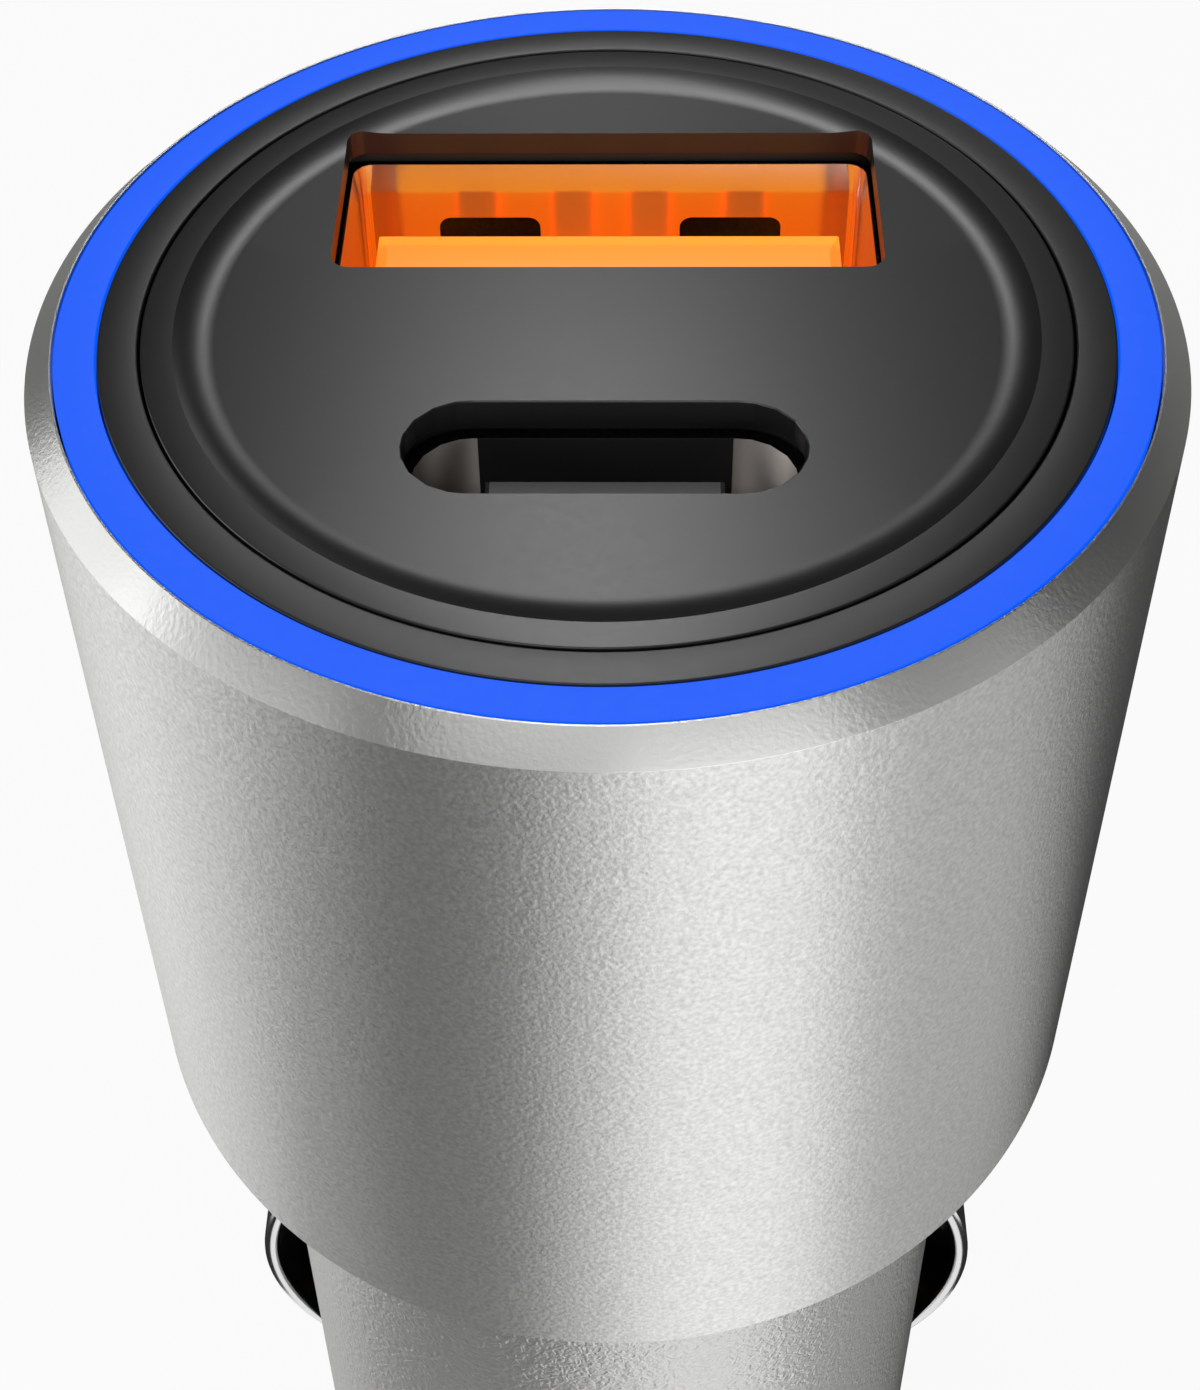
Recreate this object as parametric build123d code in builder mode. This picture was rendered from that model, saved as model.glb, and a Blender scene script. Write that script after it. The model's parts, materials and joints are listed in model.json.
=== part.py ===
"""USB car charger plug with a USB-A and a USB-C port, in millimetres.

The origin is on the plug's axis, on the head's underside, which stops on the rim of the socket.
+Z points up through the head to the ports. The USB-A port is on the +Y side of the face, the
USB-C port on the -Y side, and the side contacts bow out of the barrel along X.
"""

import os
from math import hypot, sqrt

from build123d import *

os.makedirs("parts", exist_ok=True)

# Clearances
slip = 0.05
board_play = 0.1
slide_play = 0.15

# Head
head_diameter = 26.0
head_length = 23.2
bevel_width = 0.62
rim_land = 0.05
head_wall = 1.3
head_floor = 1.6

# Barrel sleeve
barrel_diameter = 20.8
barrel_length = 26.0
barrel_wall = 0.9
barrel_recess = 0.8
neck_step = 0.3
barrel_end_chamfer = 0.2

# Light ring and bezel ring
light_ring_width = 0.91
light_ring_height = 2.5
light_flange_width = 0.8
bezel_width = 0.89
bezel_height = 1.4
ring_seam = 0.04

# Lamps under the light ring
led_count = 8
led_inset = 0.8
led_length = 1.6
led_width = 0.8
led_height = 0.5
led_board_thickness = 0.8

# Face plate
face_seam = 0.06
face_thickness = 0.95
face_border = 0.71
recess_depth = 0.22
recess_cove_radius = 1.9

# USB-A receptacle
usb_a_width = 12.5
usb_a_height = 5.12
usb_a_corner = 0.3
usb_a_edge_margin = 0.82
usb_a_tongue_width = 11.1
usb_a_tongue_thickness = 1.84
usb_a_tongue_offset = -0.77
usb_a_tongue_bevel = 0.9
usb_a_tongue_bevel_drop = 0.25
usb_a_tongue_side_bevel = 0.28
usb_a_tongue_near_bevel = 0.1
usb_a_base_height = 3.6
usb_a_flare = 0.18
usb_a_flare_height = 0.7
usb_a_window_width = 2.55
usb_a_window_height = 4.0
usb_a_window_spread = 6.07
usb_a_window_drop = 1.5
spring_finger_width = 1.7
spring_finger_length = 3.2
spring_finger_lean = 0.3
usb_a_contact_places = (-3.5, -1.0, 1.0, 3.5)
usb_a_contact_width = 1.0
usb_a_contact_thickness = 0.3
usb_a_contact_setback = 1.4
usb_a_contact_tail = 2.0
usb_a_contact_crest = 0.25
usb_a_contact_crest_drop = 2.0
usb_a_contact_crest_half = 1.5

# USB-C receptacle
usb_c_width = 8.34
usb_c_height = 2.56
usb_c_tongue_width = 6.69
usb_c_tongue_tip_width = 5.2
usb_c_tongue_tip_height = 0.55
usb_c_tongue_thickness = 0.7
usb_c_tongue_depth = 0.35
usb_c_base_height = 5.4
usb_c_contact_count = 12
usb_c_contact_pitch = 0.5
usb_c_contact_width = 0.25
usb_c_contact_thickness = 0.12
usb_c_contact_setback = 0.9

# Both receptacles
receptacle_length = 13.65
receptacle_wall = 0.3
mouth_depth = 1.15
port_margin = 0.16
port_gap = 4.52
cutout_corner = 0.45

# Port carrier and port board
carrier_top_thickness = 1.3
carrier_wall = 1.2
carrier_wall_inset = 1.8
carrier_rib = 1.0
port_board_thickness = 1.2
port_board_play = 0.3

# Inner body
inner_body_wall = 1.45
cup_wall = 1.2
cup_floor = 1.2

# Side contacts
contact_from_end = 10.3
contact_width = 4.2
contact_thickness = 0.5
contact_bow_radius = 8.1
contact_root_radius = 1.0
contact_leg = 0.95
contact_travel = 1.25
contact_pressed_proud = 0.05
slot_side_play = 0.35
slot_end_play = 0.9
slot_corner = 0.8

# Nose cap
nose_diameter = 20.4
nose_groove_radius = 9.9
nose_groove_width = 0.5
nose_guide_length = 6.0
nose_taper_length = 4.2
nose_front_diameter = 13.6
nose_front_wall = 1.6
spigot_height = 2.4

# Tip contact and its spring
tip_diameter = 6.0
tip_dome = 1.0
tip_flange_radius = 4.2
tip_flange_height = 1.2
tip_travel = 2.5
tip_pressed_proud = 0.7
spring_radius = 3.4
spring_wire = 0.55
spring_turns = 5

# Terminals
ground_ring_thickness = 0.4
terminal_radius = 5.3
terminal_thickness = 0.5
terminal_rise = 0.2
tab_thickness = 0.4
tab_height = 5.0
terminal_tab_width = 3.0
ground_tab_width = 1.5
ground_tab_y = 6.6

# Main board and what stands on it
main_board_thickness = 0.8
main_board_groove = 0.25
board_shoulder_gap = 0.4
board_tongue_half_width = 4.6
protocol_size = (0.9, 4.0, 4.0)
protocol_gap = 0.5
converter_size = (1.5, 5.0, 6.0)
converter_gap = 1.3
inductor_size = 7.0
inductor_height = 4.0
inductor_corner = 1.0
inductor_gap = 1.6
rectifier_size = (2.2, 3.6, 4.3)
rectifier_gap = 0.85
input_capacitor_diameter = 6.3
input_capacitor_length = 7.7
input_capacitor_gap = 0.2
output_capacitor_diameter = 5.0
output_capacitor_length = 7.0
output_capacitor_rise = 6.3
capacitor_gap = 0.05
ceramic_size = (0.8, 0.8, 1.6)
ceramic_y = 5.6
ceramic_rise = 5.0
ceramic_pitch = 5.0
ceramic_rows = 3

# Radii and levels that follow
head_radius = head_diameter / 2
bore_radius = head_radius - head_wall
barrel_radius = barrel_diameter / 2
barrel_bore = barrel_radius - barrel_wall
neck_radius = barrel_radius - neck_step
light_seat_radius = head_radius - bevel_width - rim_land
light_outer = light_seat_radius - slip
light_inner = light_outer - light_ring_width
bezel_outer = light_inner - ring_seam
bezel_inner = bezel_outer - bezel_width
face_radius = bezel_inner - face_seam
light_bottom = head_length - light_ring_height
light_flange_top = head_length - bezel_height
light_flange_inner = light_inner - light_flange_width
led_circle_radius = light_outer - led_inset
led_board_bottom = light_bottom - led_board_thickness
face_bottom = head_length - face_thickness
mouth_z = head_length - mouth_depth
usb_a_cutout_width = usb_a_width + 2 * port_margin
usb_a_cutout_height = usb_a_height + 2 * port_margin
usb_c_cutout_height = usb_c_height + 2 * port_margin
usb_a_far_side = sqrt((face_radius - usb_a_edge_margin) ** 2 - (usb_a_cutout_width / 2) ** 2)
usb_a_y = usb_a_far_side - usb_a_cutout_height / 2
usb_c_y = usb_a_y - usb_a_cutout_height / 2 - port_gap - usb_c_cutout_height / 2
port_board_top = mouth_z - receptacle_length
port_board_bottom = port_board_top - port_board_thickness
carrier_bottom = face_bottom - carrier_top_thickness
carrier_radius = min(face_radius, light_flange_inner) - slip
barrel_bottom = -barrel_length
contact_z = barrel_bottom + contact_from_end
contact_proud = contact_travel + contact_pressed_proud
inner_body_radius = barrel_bore - slip
inner_body_bore = inner_body_radius - inner_body_wall
nose_radius = nose_diameter / 2
nose_shoulder = barrel_bottom - ground_ring_thickness
nose_guide_top = nose_shoulder - nose_groove_width
nose_guide_bottom = nose_guide_top - nose_guide_length
nose_front = nose_guide_bottom - nose_taper_length
tip_radius = tip_diameter / 2
tip_seat = nose_front + nose_front_wall
tip_end = nose_front - tip_travel - tip_pressed_proud
spigot_top = barrel_bottom + spigot_height
spigot_radius = inner_body_bore - slip
terminal_bottom = barrel_bottom + terminal_rise
terminal_top = terminal_bottom + terminal_thickness
board_face = main_board_thickness / 2
main_board_half_width = inner_body_bore + main_board_groove - slip
main_board_shoulder = spigot_top + board_shoulder_gap


# Head shell: a turned cup with a bevelled rim, a ledge near the top and a floor that takes the barrel
with BuildPart() as head_shell:
    with BuildSketch(Plane.XZ):
        Polygon(
            (barrel_radius + slip, 0),
            (head_radius, 0),
            (head_radius, head_length - bevel_width),
            (head_radius - bevel_width, head_length),
            (light_seat_radius, head_length),
            (light_seat_radius, led_board_bottom),
            (bore_radius, led_board_bottom),
            (bore_radius, head_floor),
            (neck_radius + slip, head_floor),
            (neck_radius + slip, barrel_recess),
            (barrel_radius + slip, barrel_recess),
            align=None,
        )
    revolve(axis=Axis.Z)
head_shell.part.label = "head_shell"
export_step(head_shell.part, "parts/head_shell.step")

# Bow of a side contact: its outer face is one arc with a small root arc and a leg at each end
contact_reach = barrel_radius + contact_proud
bow_centre_x = contact_reach - contact_bow_radius
leg_x = sqrt(barrel_bore**2 - (contact_width / 2) ** 2) - slip
root_centre_x = leg_x + contact_root_radius
root_centre_dx = root_centre_x - bow_centre_x
root_centre_dz = sqrt((contact_bow_radius + contact_root_radius) ** 2 - root_centre_dx**2)
bow_share = contact_bow_radius / (contact_bow_radius + contact_root_radius)
bow_end_x = bow_centre_x + root_centre_dx * bow_share
bow_end_dz = root_centre_dz * bow_share
root_middle_angle_x = (leg_x + bow_end_x) / 2 - root_centre_x
root_middle_angle_z = (root_centre_dz + bow_end_dz) / 2 - root_centre_dz
root_middle_share = contact_root_radius / hypot(root_middle_angle_x, root_middle_angle_z)
root_middle_x = root_centre_x + root_middle_angle_x * root_middle_share
root_middle_dz = root_centre_dz + root_middle_angle_z * root_middle_share
leg_end_dz = root_centre_dz + contact_leg
slot_half_length = sqrt(contact_bow_radius**2 - (barrel_bore - bow_centre_x) ** 2) + slot_end_play

# Barrel sleeve: a drawn sleeve with a neck that is pressed into the head's floor and two slots
with BuildPart() as barrel_sleeve:
    with BuildSketch(Plane.XZ):
        Polygon(
            (barrel_bore, barrel_bottom),
            (barrel_radius - barrel_end_chamfer, barrel_bottom),
            (barrel_radius, barrel_bottom + barrel_end_chamfer),
            (barrel_radius, barrel_recess),
            (neck_radius, barrel_recess),
            (neck_radius, head_floor),
            (barrel_bore, head_floor),
            align=None,
        )
    revolve(axis=Axis.Z)
    with BuildSketch(Plane.YZ):
        with Locations((0, contact_z)):
            RectangleRounded(contact_width + 2 * slot_side_play, 2 * slot_half_length, slot_corner)
    extrude(amount=barrel_diameter, both=True, mode=Mode.SUBTRACT)
barrel_sleeve.part.label = "barrel_sleeve"
export_step(barrel_sleeve.part, "parts/barrel_sleeve.step")

# Side contacts: chromed strips that bow out of the slots, with their legs behind the sleeve
with BuildLine() as bow:
    Line((leg_x, contact_z + leg_end_dz), (leg_x, contact_z + root_centre_dz))
    ThreePointArc(
        (leg_x, contact_z + root_centre_dz),
        (root_middle_x, contact_z + root_middle_dz),
        (bow_end_x, contact_z + bow_end_dz),
    )
    ThreePointArc(
        (bow_end_x, contact_z + bow_end_dz),
        (contact_reach, contact_z),
        (bow_end_x, contact_z - bow_end_dz),
    )
    ThreePointArc(
        (bow_end_x, contact_z - bow_end_dz),
        (root_middle_x, contact_z - root_middle_dz),
        (leg_x, contact_z - root_centre_dz),
    )
    Line((leg_x, contact_z - root_centre_dz), (leg_x, contact_z - leg_end_dz))

with BuildPart() as side_contact_right:
    with BuildSketch(Plane.XZ):
        with BuildLine():
            add(bow.line)
            offset(amount=contact_thickness, side=Side.RIGHT)
        make_face()
    extrude(amount=contact_width / 2, both=True)
side_contact_right.part.label = "side_contact_right"
export_step(side_contact_right.part, "parts/side_contact_right.step")

with BuildPart() as side_contact_left:
    add(side_contact_right.part.mirror(Plane.YZ))
side_contact_left.part.label = "side_contact_left"
export_step(side_contact_left.part, "parts/side_contact_left.step")

# Light ring: a blue light guide with a flange under the bezel and a groove over the lamps
led_groove = led_width + 2 * slide_play
with BuildPart() as light_ring:
    with BuildSketch(Plane.XZ):
        Polygon(
            (light_flange_inner, light_bottom),
            (light_outer, light_bottom),
            (light_outer, head_length),
            (light_inner, head_length),
            (light_inner, light_flange_top),
            (light_flange_inner, light_flange_top),
            align=None,
        )
        with Locations((led_circle_radius, light_bottom)):
            Rectangle(
                led_groove,
                led_height + slide_play,
                align=(Align.CENTER, Align.MIN),
                mode=Mode.SUBTRACT,
            )
    revolve(axis=Axis.Z)
light_ring.part.label = "light_ring"
export_step(light_ring.part, "parts/light_ring.step")

# Bezel ring: a black ring on the light ring's flange
with BuildPart() as bezel_ring:
    with BuildSketch(Plane.XY.offset(light_flange_top)):
        Circle(bezel_outer)
        Circle(bezel_inner, mode=Mode.SUBTRACT)
    extrude(amount=bezel_height)
bezel_ring.part.label = "bezel_ring"
export_step(bezel_ring.part, "parts/bezel_ring.step")

# Face plate: a disc with a coved recess and a cut-out for each port
recess_radius = face_radius - face_border
cove_width = sqrt(recess_cove_radius**2 - (recess_cove_radius - recess_depth) ** 2)
cove_middle_width = cove_width / 2
cove_middle_drop = recess_depth - recess_cove_radius + sqrt(recess_cove_radius**2 - cove_middle_width**2)
with BuildPart() as face_plate:
    with BuildSketch(Plane.XZ):
        with BuildLine():
            Polyline(
                (0, head_length - recess_depth),
                (0, face_bottom),
                (face_radius, face_bottom),
                (face_radius, head_length),
                (recess_radius, head_length),
            )
            ThreePointArc(
                (recess_radius, head_length),
                (recess_radius - cove_width + cove_middle_width, head_length - cove_middle_drop),
                (recess_radius - cove_width, head_length - recess_depth),
            )
            Line(
                (recess_radius - cove_width, head_length - recess_depth),
                (0, head_length - recess_depth),
            )
        make_face()
    revolve(axis=Axis.Z)
    with BuildSketch(Plane.XY.offset(head_length)):
        with Locations((0, usb_a_y)):
            RectangleRounded(usb_a_cutout_width, usb_a_cutout_height, cutout_corner)
        with Locations((0, usb_c_y)):
            SlotOverall(usb_c_width + 2 * port_margin, usb_c_cutout_height)
    extrude(amount=-head_length + face_bottom, mode=Mode.SUBTRACT)
face_plate.part.label = "face_plate"
export_step(face_plate.part, "parts/face_plate.step")

# Port carrier: a moulded frame on the port board, with a top plate that both receptacles pass, a
# wall at each side and a rib along each receptacle
shell_a_width = usb_a_width + 2 * receptacle_wall
shell_a_height = usb_a_height + 2 * receptacle_wall
shell_c_width = usb_c_width + 2 * receptacle_wall
shell_c_height = usb_c_height + 2 * receptacle_wall
carrier_wall_x = (shell_a_width + carrier_wall) / 2 + slip
carrier_outer_x = carrier_wall_x + carrier_wall / 2
carrier_wall_length = 2 * (sqrt(carrier_radius**2 - carrier_outer_x**2) - carrier_wall_inset)
rib_a_y = usb_a_y - (shell_a_height + carrier_rib) / 2 - slip
rib_c_y = usb_c_y + (shell_c_height + carrier_rib) / 2 + slip
with BuildPart() as port_carrier:
    with BuildSketch(Plane.XY.offset(carrier_bottom)):
        Circle(carrier_radius)
    extrude(amount=carrier_top_thickness)
    with BuildSketch(Plane.XY.offset(port_board_top)):
        with Locations((carrier_wall_x, 0), (-carrier_wall_x, 0)):
            Rectangle(carrier_wall, carrier_wall_length)
        with Locations((0, rib_a_y), (0, rib_c_y)):
            Rectangle(2 * carrier_wall_x, carrier_rib)
    extrude(amount=carrier_bottom - port_board_top)
    with BuildSketch(Plane.XY.offset(carrier_bottom)):
        with Locations((0, usb_a_y)):
            Rectangle(shell_a_width + 2 * slip, shell_a_height + 2 * slip)
        with Locations((0, usb_c_y)):
            SlotOverall(shell_c_width + 2 * slip, shell_c_height + 2 * slip)
    extrude(amount=carrier_top_thickness, mode=Mode.SUBTRACT)
port_carrier.part.label = "port_carrier"
export_step(port_carrier.part, "parts/port_carrier.step")

# Lamp board: a ring on the head's ledge, with the lamps on it
with BuildPart() as led_board:
    with BuildSketch(Plane.XY.offset(led_board_bottom)):
        Circle(light_outer)
        Circle(carrier_radius + slide_play, mode=Mode.SUBTRACT)
    extrude(amount=led_board_thickness)
led_board.part.label = "led_board"
export_step(led_board.part, "parts/led_board.step")

for number, place in enumerate(PolarLocations(led_circle_radius, led_count).locations, start=1):
    with BuildPart() as led:
        with BuildSketch(Plane.XY.offset(light_bottom)):
            with Locations(place):
                Rectangle(led_width, led_length)
        extrude(amount=led_height)
    led.part.label = f"led_{number}"
    export_step(led.part, f"parts/led_{number}.step")

# Port board: a round board with a hole for each USB-A contact's tail
tongue_a_y = usb_a_y + usb_a_tongue_offset
contact_a_face = tongue_a_y + usb_a_tongue_thickness / 2
contact_a_back = contact_a_face - 2 * usb_a_contact_thickness / 3
tail_hole_radius = hypot(usb_a_contact_width, usb_a_contact_thickness) / 2 + board_play
with BuildPart() as port_board:
    with BuildSketch(Plane.XY.offset(port_board_bottom)):
        Circle(bore_radius - port_board_play)
        with Locations([(x, contact_a_back + usb_a_contact_thickness / 2) for x in usb_a_contact_places]):
            Circle(tail_hole_radius, mode=Mode.SUBTRACT)
    extrude(amount=port_board_thickness)
port_board.part.label = "port_board"
export_step(port_board.part, "parts/port_board.step")

# USB-A shell: a folded tube with a flared mouth, two windows in each broad wall and a spring
# finger that leans into each window
window_top = mouth_z - usb_a_window_drop
window_bottom = window_top - usb_a_window_height
flare_bottom = mouth_z - usb_a_flare_height
with BuildPart() as usb_a_shell:
    with BuildSketch(Plane.XY.offset(port_board_top)):
        with Locations((0, usb_a_y)):
            RectangleRounded(shell_a_width, shell_a_height, usb_a_corner + receptacle_wall)
            RectangleRounded(usb_a_width, usb_a_height, usb_a_corner, mode=Mode.SUBTRACT)
    extrude(amount=receptacle_length)
    with BuildSketch(Plane.XY.offset(flare_bottom)):
        with Locations((0, usb_a_y)):
            RectangleRounded(usb_a_width, usb_a_height, usb_a_corner)
    with BuildSketch(Plane.XY.offset(mouth_z)):
        with Locations((0, usb_a_y)):
            RectangleRounded(
                usb_a_width + 2 * usb_a_flare, usb_a_height + 2 * usb_a_flare, usb_a_corner + usb_a_flare
            )
    loft(mode=Mode.SUBTRACT)
    with BuildSketch(Plane.XZ.offset(-usb_a_y)):
        with Locations(*[(side * usb_a_window_spread / 2, (window_top + window_bottom) / 2) for side in (-1, 1)]):
            RectangleRounded(usb_a_window_width, usb_a_window_height, usb_a_corner)
    extrude(amount=shell_a_height, both=True, mode=Mode.SUBTRACT)
    finger_tip = window_bottom + spring_finger_length
    with BuildSketch(Plane.YZ):
        for side in (-1, 1):
            inner = usb_a_y + side * usb_a_height / 2
            outer = inner + side * receptacle_wall
            Polygon(
                (inner, window_bottom),
                (outer, window_bottom),
                (outer - side * spring_finger_lean, finger_tip),
                (inner - side * spring_finger_lean, finger_tip),
                align=None,
            )
    fingers = extrude(amount=spring_finger_width / 2, both=True, mode=Mode.PRIVATE)
    for side in (-1, 1):
        add(fingers.moved(Location((side * usb_a_window_spread / 2, 0, 0))))
usb_a_shell.part.label = "usb_a_shell"
export_step(usb_a_shell.part, "parts/usb_a_shell.step")

# USB-A insulator: an orange base with a tongue, bevelled all round its end and slotted for the
# contacts
tongue_a_front = tongue_a_y - usb_a_tongue_thickness / 2
tongue_a_bevel_start = mouth_z - usb_a_tongue_bevel_drop
with BuildPart() as usb_a_insulator:
    with BuildSketch(Plane.XY.offset(port_board_top)):
        with Locations((0, usb_a_y)):
            Rectangle(usb_a_width - 2 * slip, usb_a_height - 2 * slip)
    extrude(amount=usb_a_base_height)
    chamfer(usb_a_insulator.edges().filter_by(Axis.Z), usb_a_corner)
    with BuildSketch(Plane.XY.offset(port_board_top + usb_a_base_height)):
        with Locations((0, tongue_a_y)):
            Rectangle(usb_a_tongue_width, usb_a_tongue_thickness)
    extrude(amount=tongue_a_bevel_start - port_board_top - usb_a_base_height)
    with BuildSketch(Plane.XY.offset(tongue_a_bevel_start)):
        with Locations((0, tongue_a_y)):
            Rectangle(usb_a_tongue_width, usb_a_tongue_thickness)
    with BuildSketch(Plane.XY.offset(mouth_z)):
        with Locations((0, tongue_a_front + usb_a_tongue_near_bevel)):
            Rectangle(
                usb_a_tongue_width - 2 * usb_a_tongue_side_bevel,
                usb_a_tongue_thickness - usb_a_tongue_near_bevel - usb_a_tongue_bevel,
                align=(Align.CENTER, Align.MIN),
            )
    loft()
    with BuildSketch(Plane.XY.offset(port_board_top)):
        with Locations([(x, contact_a_back - slip) for x in usb_a_contact_places]):
            Rectangle(
                usb_a_contact_width + 2 * slip,
                usb_a_contact_thickness + 2 * slip,
                align=(Align.CENTER, Align.MIN),
            )
    extrude(amount=receptacle_length - usb_a_contact_setback + slip, mode=Mode.SUBTRACT)
usb_a_insulator.part.label = "usb_a_insulator"
export_step(usb_a_insulator.part, "parts/usb_a_insulator.step")

# USB-A contacts: four strips in the tongue's slots, each with a crest that springs off the tongue
contact_a_top = mouth_z - usb_a_contact_setback
crest_z = contact_a_top - usb_a_contact_crest_drop
crest_half = usb_a_contact_crest_half
for number, x in enumerate(usb_a_contact_places, start=1):
    with BuildPart() as usb_a_contact:
        with BuildSketch(Plane.YZ.offset(x)):
            Polygon(
                (contact_a_back, port_board_bottom - usb_a_contact_tail),
                (contact_a_back + usb_a_contact_thickness, port_board_bottom - usb_a_contact_tail),
                (contact_a_back + usb_a_contact_thickness, crest_z - crest_half),
                (contact_a_back + usb_a_contact_thickness + usb_a_contact_crest, crest_z),
                (contact_a_back + usb_a_contact_thickness, crest_z + crest_half),
                (contact_a_back + usb_a_contact_thickness, contact_a_top),
                (contact_a_back, contact_a_top),
                (contact_a_back, crest_z + crest_half),
                (contact_a_back + usb_a_contact_crest, crest_z),
                (contact_a_back, crest_z - crest_half),
                align=None,
            )
        extrude(amount=usb_a_contact_width / 2, both=True)
    usb_a_contact.part.label = f"usb_a_contact_{number}"
    export_step(usb_a_contact.part, f"parts/usb_a_contact_{number}.step")

# USB-C shell: a drawn tube with round ends
with BuildPart() as usb_c_shell:
    with BuildSketch(Plane.XY.offset(port_board_top)):
        with Locations((0, usb_c_y)):
            SlotOverall(shell_c_width, shell_c_height)
            SlotOverall(usb_c_width, usb_c_height, mode=Mode.SUBTRACT)
    extrude(amount=receptacle_length)
usb_c_shell.part.label = "usb_c_shell"
export_step(usb_c_shell.part, "parts/usb_c_shell.step")

# USB-C insulator: a black base with a thin tongue that is narrower at its tip
tongue_c_top = mouth_z - usb_c_tongue_depth
base_c_top = port_board_top + usb_c_base_height
with BuildPart() as usb_c_insulator:
    with BuildSketch(Plane.XY.offset(port_board_top)):
        with Locations((0, usb_c_y)):
            SlotOverall(usb_c_width - 2 * slip, usb_c_height - 2 * slip)
    extrude(amount=usb_c_base_height)
    with BuildSketch(Plane.XY.offset(base_c_top)):
        with Locations((0, usb_c_y)):
            Rectangle(usb_c_tongue_width, usb_c_tongue_thickness)
    extrude(amount=tongue_c_top - usb_c_tongue_tip_height - base_c_top)
    with BuildSketch(Plane.XY.offset(tongue_c_top - usb_c_tongue_tip_height)):
        with Locations((0, usb_c_y)):
            Rectangle(usb_c_tongue_tip_width, usb_c_tongue_thickness)
    extrude(amount=usb_c_tongue_tip_height)
usb_c_insulator.part.label = "usb_c_insulator"
export_step(usb_c_insulator.part, "parts/usb_c_insulator.step")

# USB-C contacts: a row of strips on each face of the tongue
contact_c_span = usb_c_contact_pitch * (usb_c_contact_count - 1)
for row_name, side in (("back", 1), ("front", -1)):
    with BuildPart() as usb_c_contacts:
        face_y = usb_c_y + side * usb_c_tongue_thickness / 2
        with BuildSketch(Plane.XY.offset(base_c_top)):
            with Locations((0, face_y + side * usb_c_contact_thickness / 2)):
                with GridLocations(usb_c_contact_pitch, 0, usb_c_contact_count, 1):
                    Rectangle(usb_c_contact_width, usb_c_contact_thickness)
        extrude(amount=tongue_c_top - usb_c_contact_setback - base_c_top)
    usb_c_contacts.part.label = f"usb_c_contacts_{row_name}"
    export_step(usb_c_contacts.part, f"parts/usb_c_contacts_{row_name}.step")

# Inner body: a tube inside the barrel with a cup in the head, a window behind each side contact
# and two grooves that hold the main board's edges
cup_radius = bore_radius - slip
window_half = leg_end_dz + slot_side_play
with BuildPart() as inner_body:
    with BuildSketch(Plane.XZ):
        Polygon(
            (inner_body_bore, barrel_bottom),
            (inner_body_radius, barrel_bottom),
            (inner_body_radius, head_floor),
            (cup_radius, head_floor),
            (cup_radius, port_board_bottom),
            (cup_radius - cup_wall, port_board_bottom),
            (cup_radius - cup_wall, head_floor + cup_floor),
            (inner_body_bore, head_floor + cup_floor),
            align=None,
        )
    revolve(axis=Axis.Z)
    with BuildSketch(Plane.YZ):
        with Locations((0, contact_z)):
            Rectangle(contact_width + 2 * slot_side_play, 2 * window_half)
    extrude(amount=cup_radius, both=True, mode=Mode.SUBTRACT)
    with BuildSketch(Plane.XY.offset(barrel_bottom)):
        Rectangle(2 * (board_face + board_play), 2 * (inner_body_bore + main_board_groove))
    extrude(amount=barrel_length + head_floor + cup_floor, mode=Mode.SUBTRACT)
inner_body.part.label = "inner_body"
export_step(inner_body.part, "parts/inner_body.step")

# Main board: an upright board whose tongue reaches down to the positive terminal
with BuildPart() as main_board:
    with BuildSketch(Plane.YZ):
        Polygon(
            (-board_tongue_half_width, terminal_top),
            (board_tongue_half_width, terminal_top),
            (board_tongue_half_width, main_board_shoulder),
            (main_board_half_width, main_board_shoulder),
            (main_board_half_width, port_board_bottom),
            (-main_board_half_width, port_board_bottom),
            (-main_board_half_width, main_board_shoulder),
            (-board_tongue_half_width, main_board_shoulder),
            align=None,
        )
    extrude(amount=board_face, both=True)
main_board.part.label = "main_board"
export_step(main_board.part, "parts/main_board.step")

# Converter parts on the board's +X face, from the terminal's tab upwards: two chips and the inductor
protocol_bottom = terminal_top + tab_height + protocol_gap
converter_bottom = protocol_bottom + protocol_size[2] + converter_gap
inductor_bottom = converter_bottom + converter_size[2] + inductor_gap
with BuildPart() as buck_inductor:
    with BuildSketch(Plane.YZ.offset(board_face)):
        with Locations((0, inductor_bottom + inductor_size / 2)):
            Rectangle(inductor_size, inductor_size)
    extrude(amount=inductor_height)
    chamfer(buck_inductor.edges().filter_by(Axis.X), inductor_corner)
buck_inductor.part.label = "buck_inductor"
export_step(buck_inductor.part, "parts/buck_inductor.step")

with BuildPart() as converter_chip:
    with Locations((board_face, 0, converter_bottom)):
        Box(*converter_size, align=(Align.MIN, Align.CENTER, Align.MIN))
converter_chip.part.label = "converter_chip"
export_step(converter_chip.part, "parts/converter_chip.step")

with BuildPart() as protocol_chip:
    with Locations((board_face, 0, protocol_bottom)):
        Box(*protocol_size, align=(Align.MIN, Align.CENTER, Align.MIN))
protocol_chip.part.label = "protocol_chip"
export_step(protocol_chip.part, "parts/protocol_chip.step")

# Parts on the board's -X face: the rectifier under the port board, then two upright capacitors
rectifier_top = port_board_bottom - rectifier_gap
input_capacitor_top = rectifier_top - rectifier_size[2] - input_capacitor_gap
output_capacitor_bottom = terminal_top + output_capacitor_rise
with BuildPart() as input_capacitor:
    radius = input_capacitor_diameter / 2
    with Locations((-board_face - capacitor_gap - radius, 0, input_capacitor_top)):
        Cylinder(radius, input_capacitor_length, align=(Align.CENTER, Align.CENTER, Align.MAX))
input_capacitor.part.label = "input_capacitor"
export_step(input_capacitor.part, "parts/input_capacitor.step")

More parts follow.
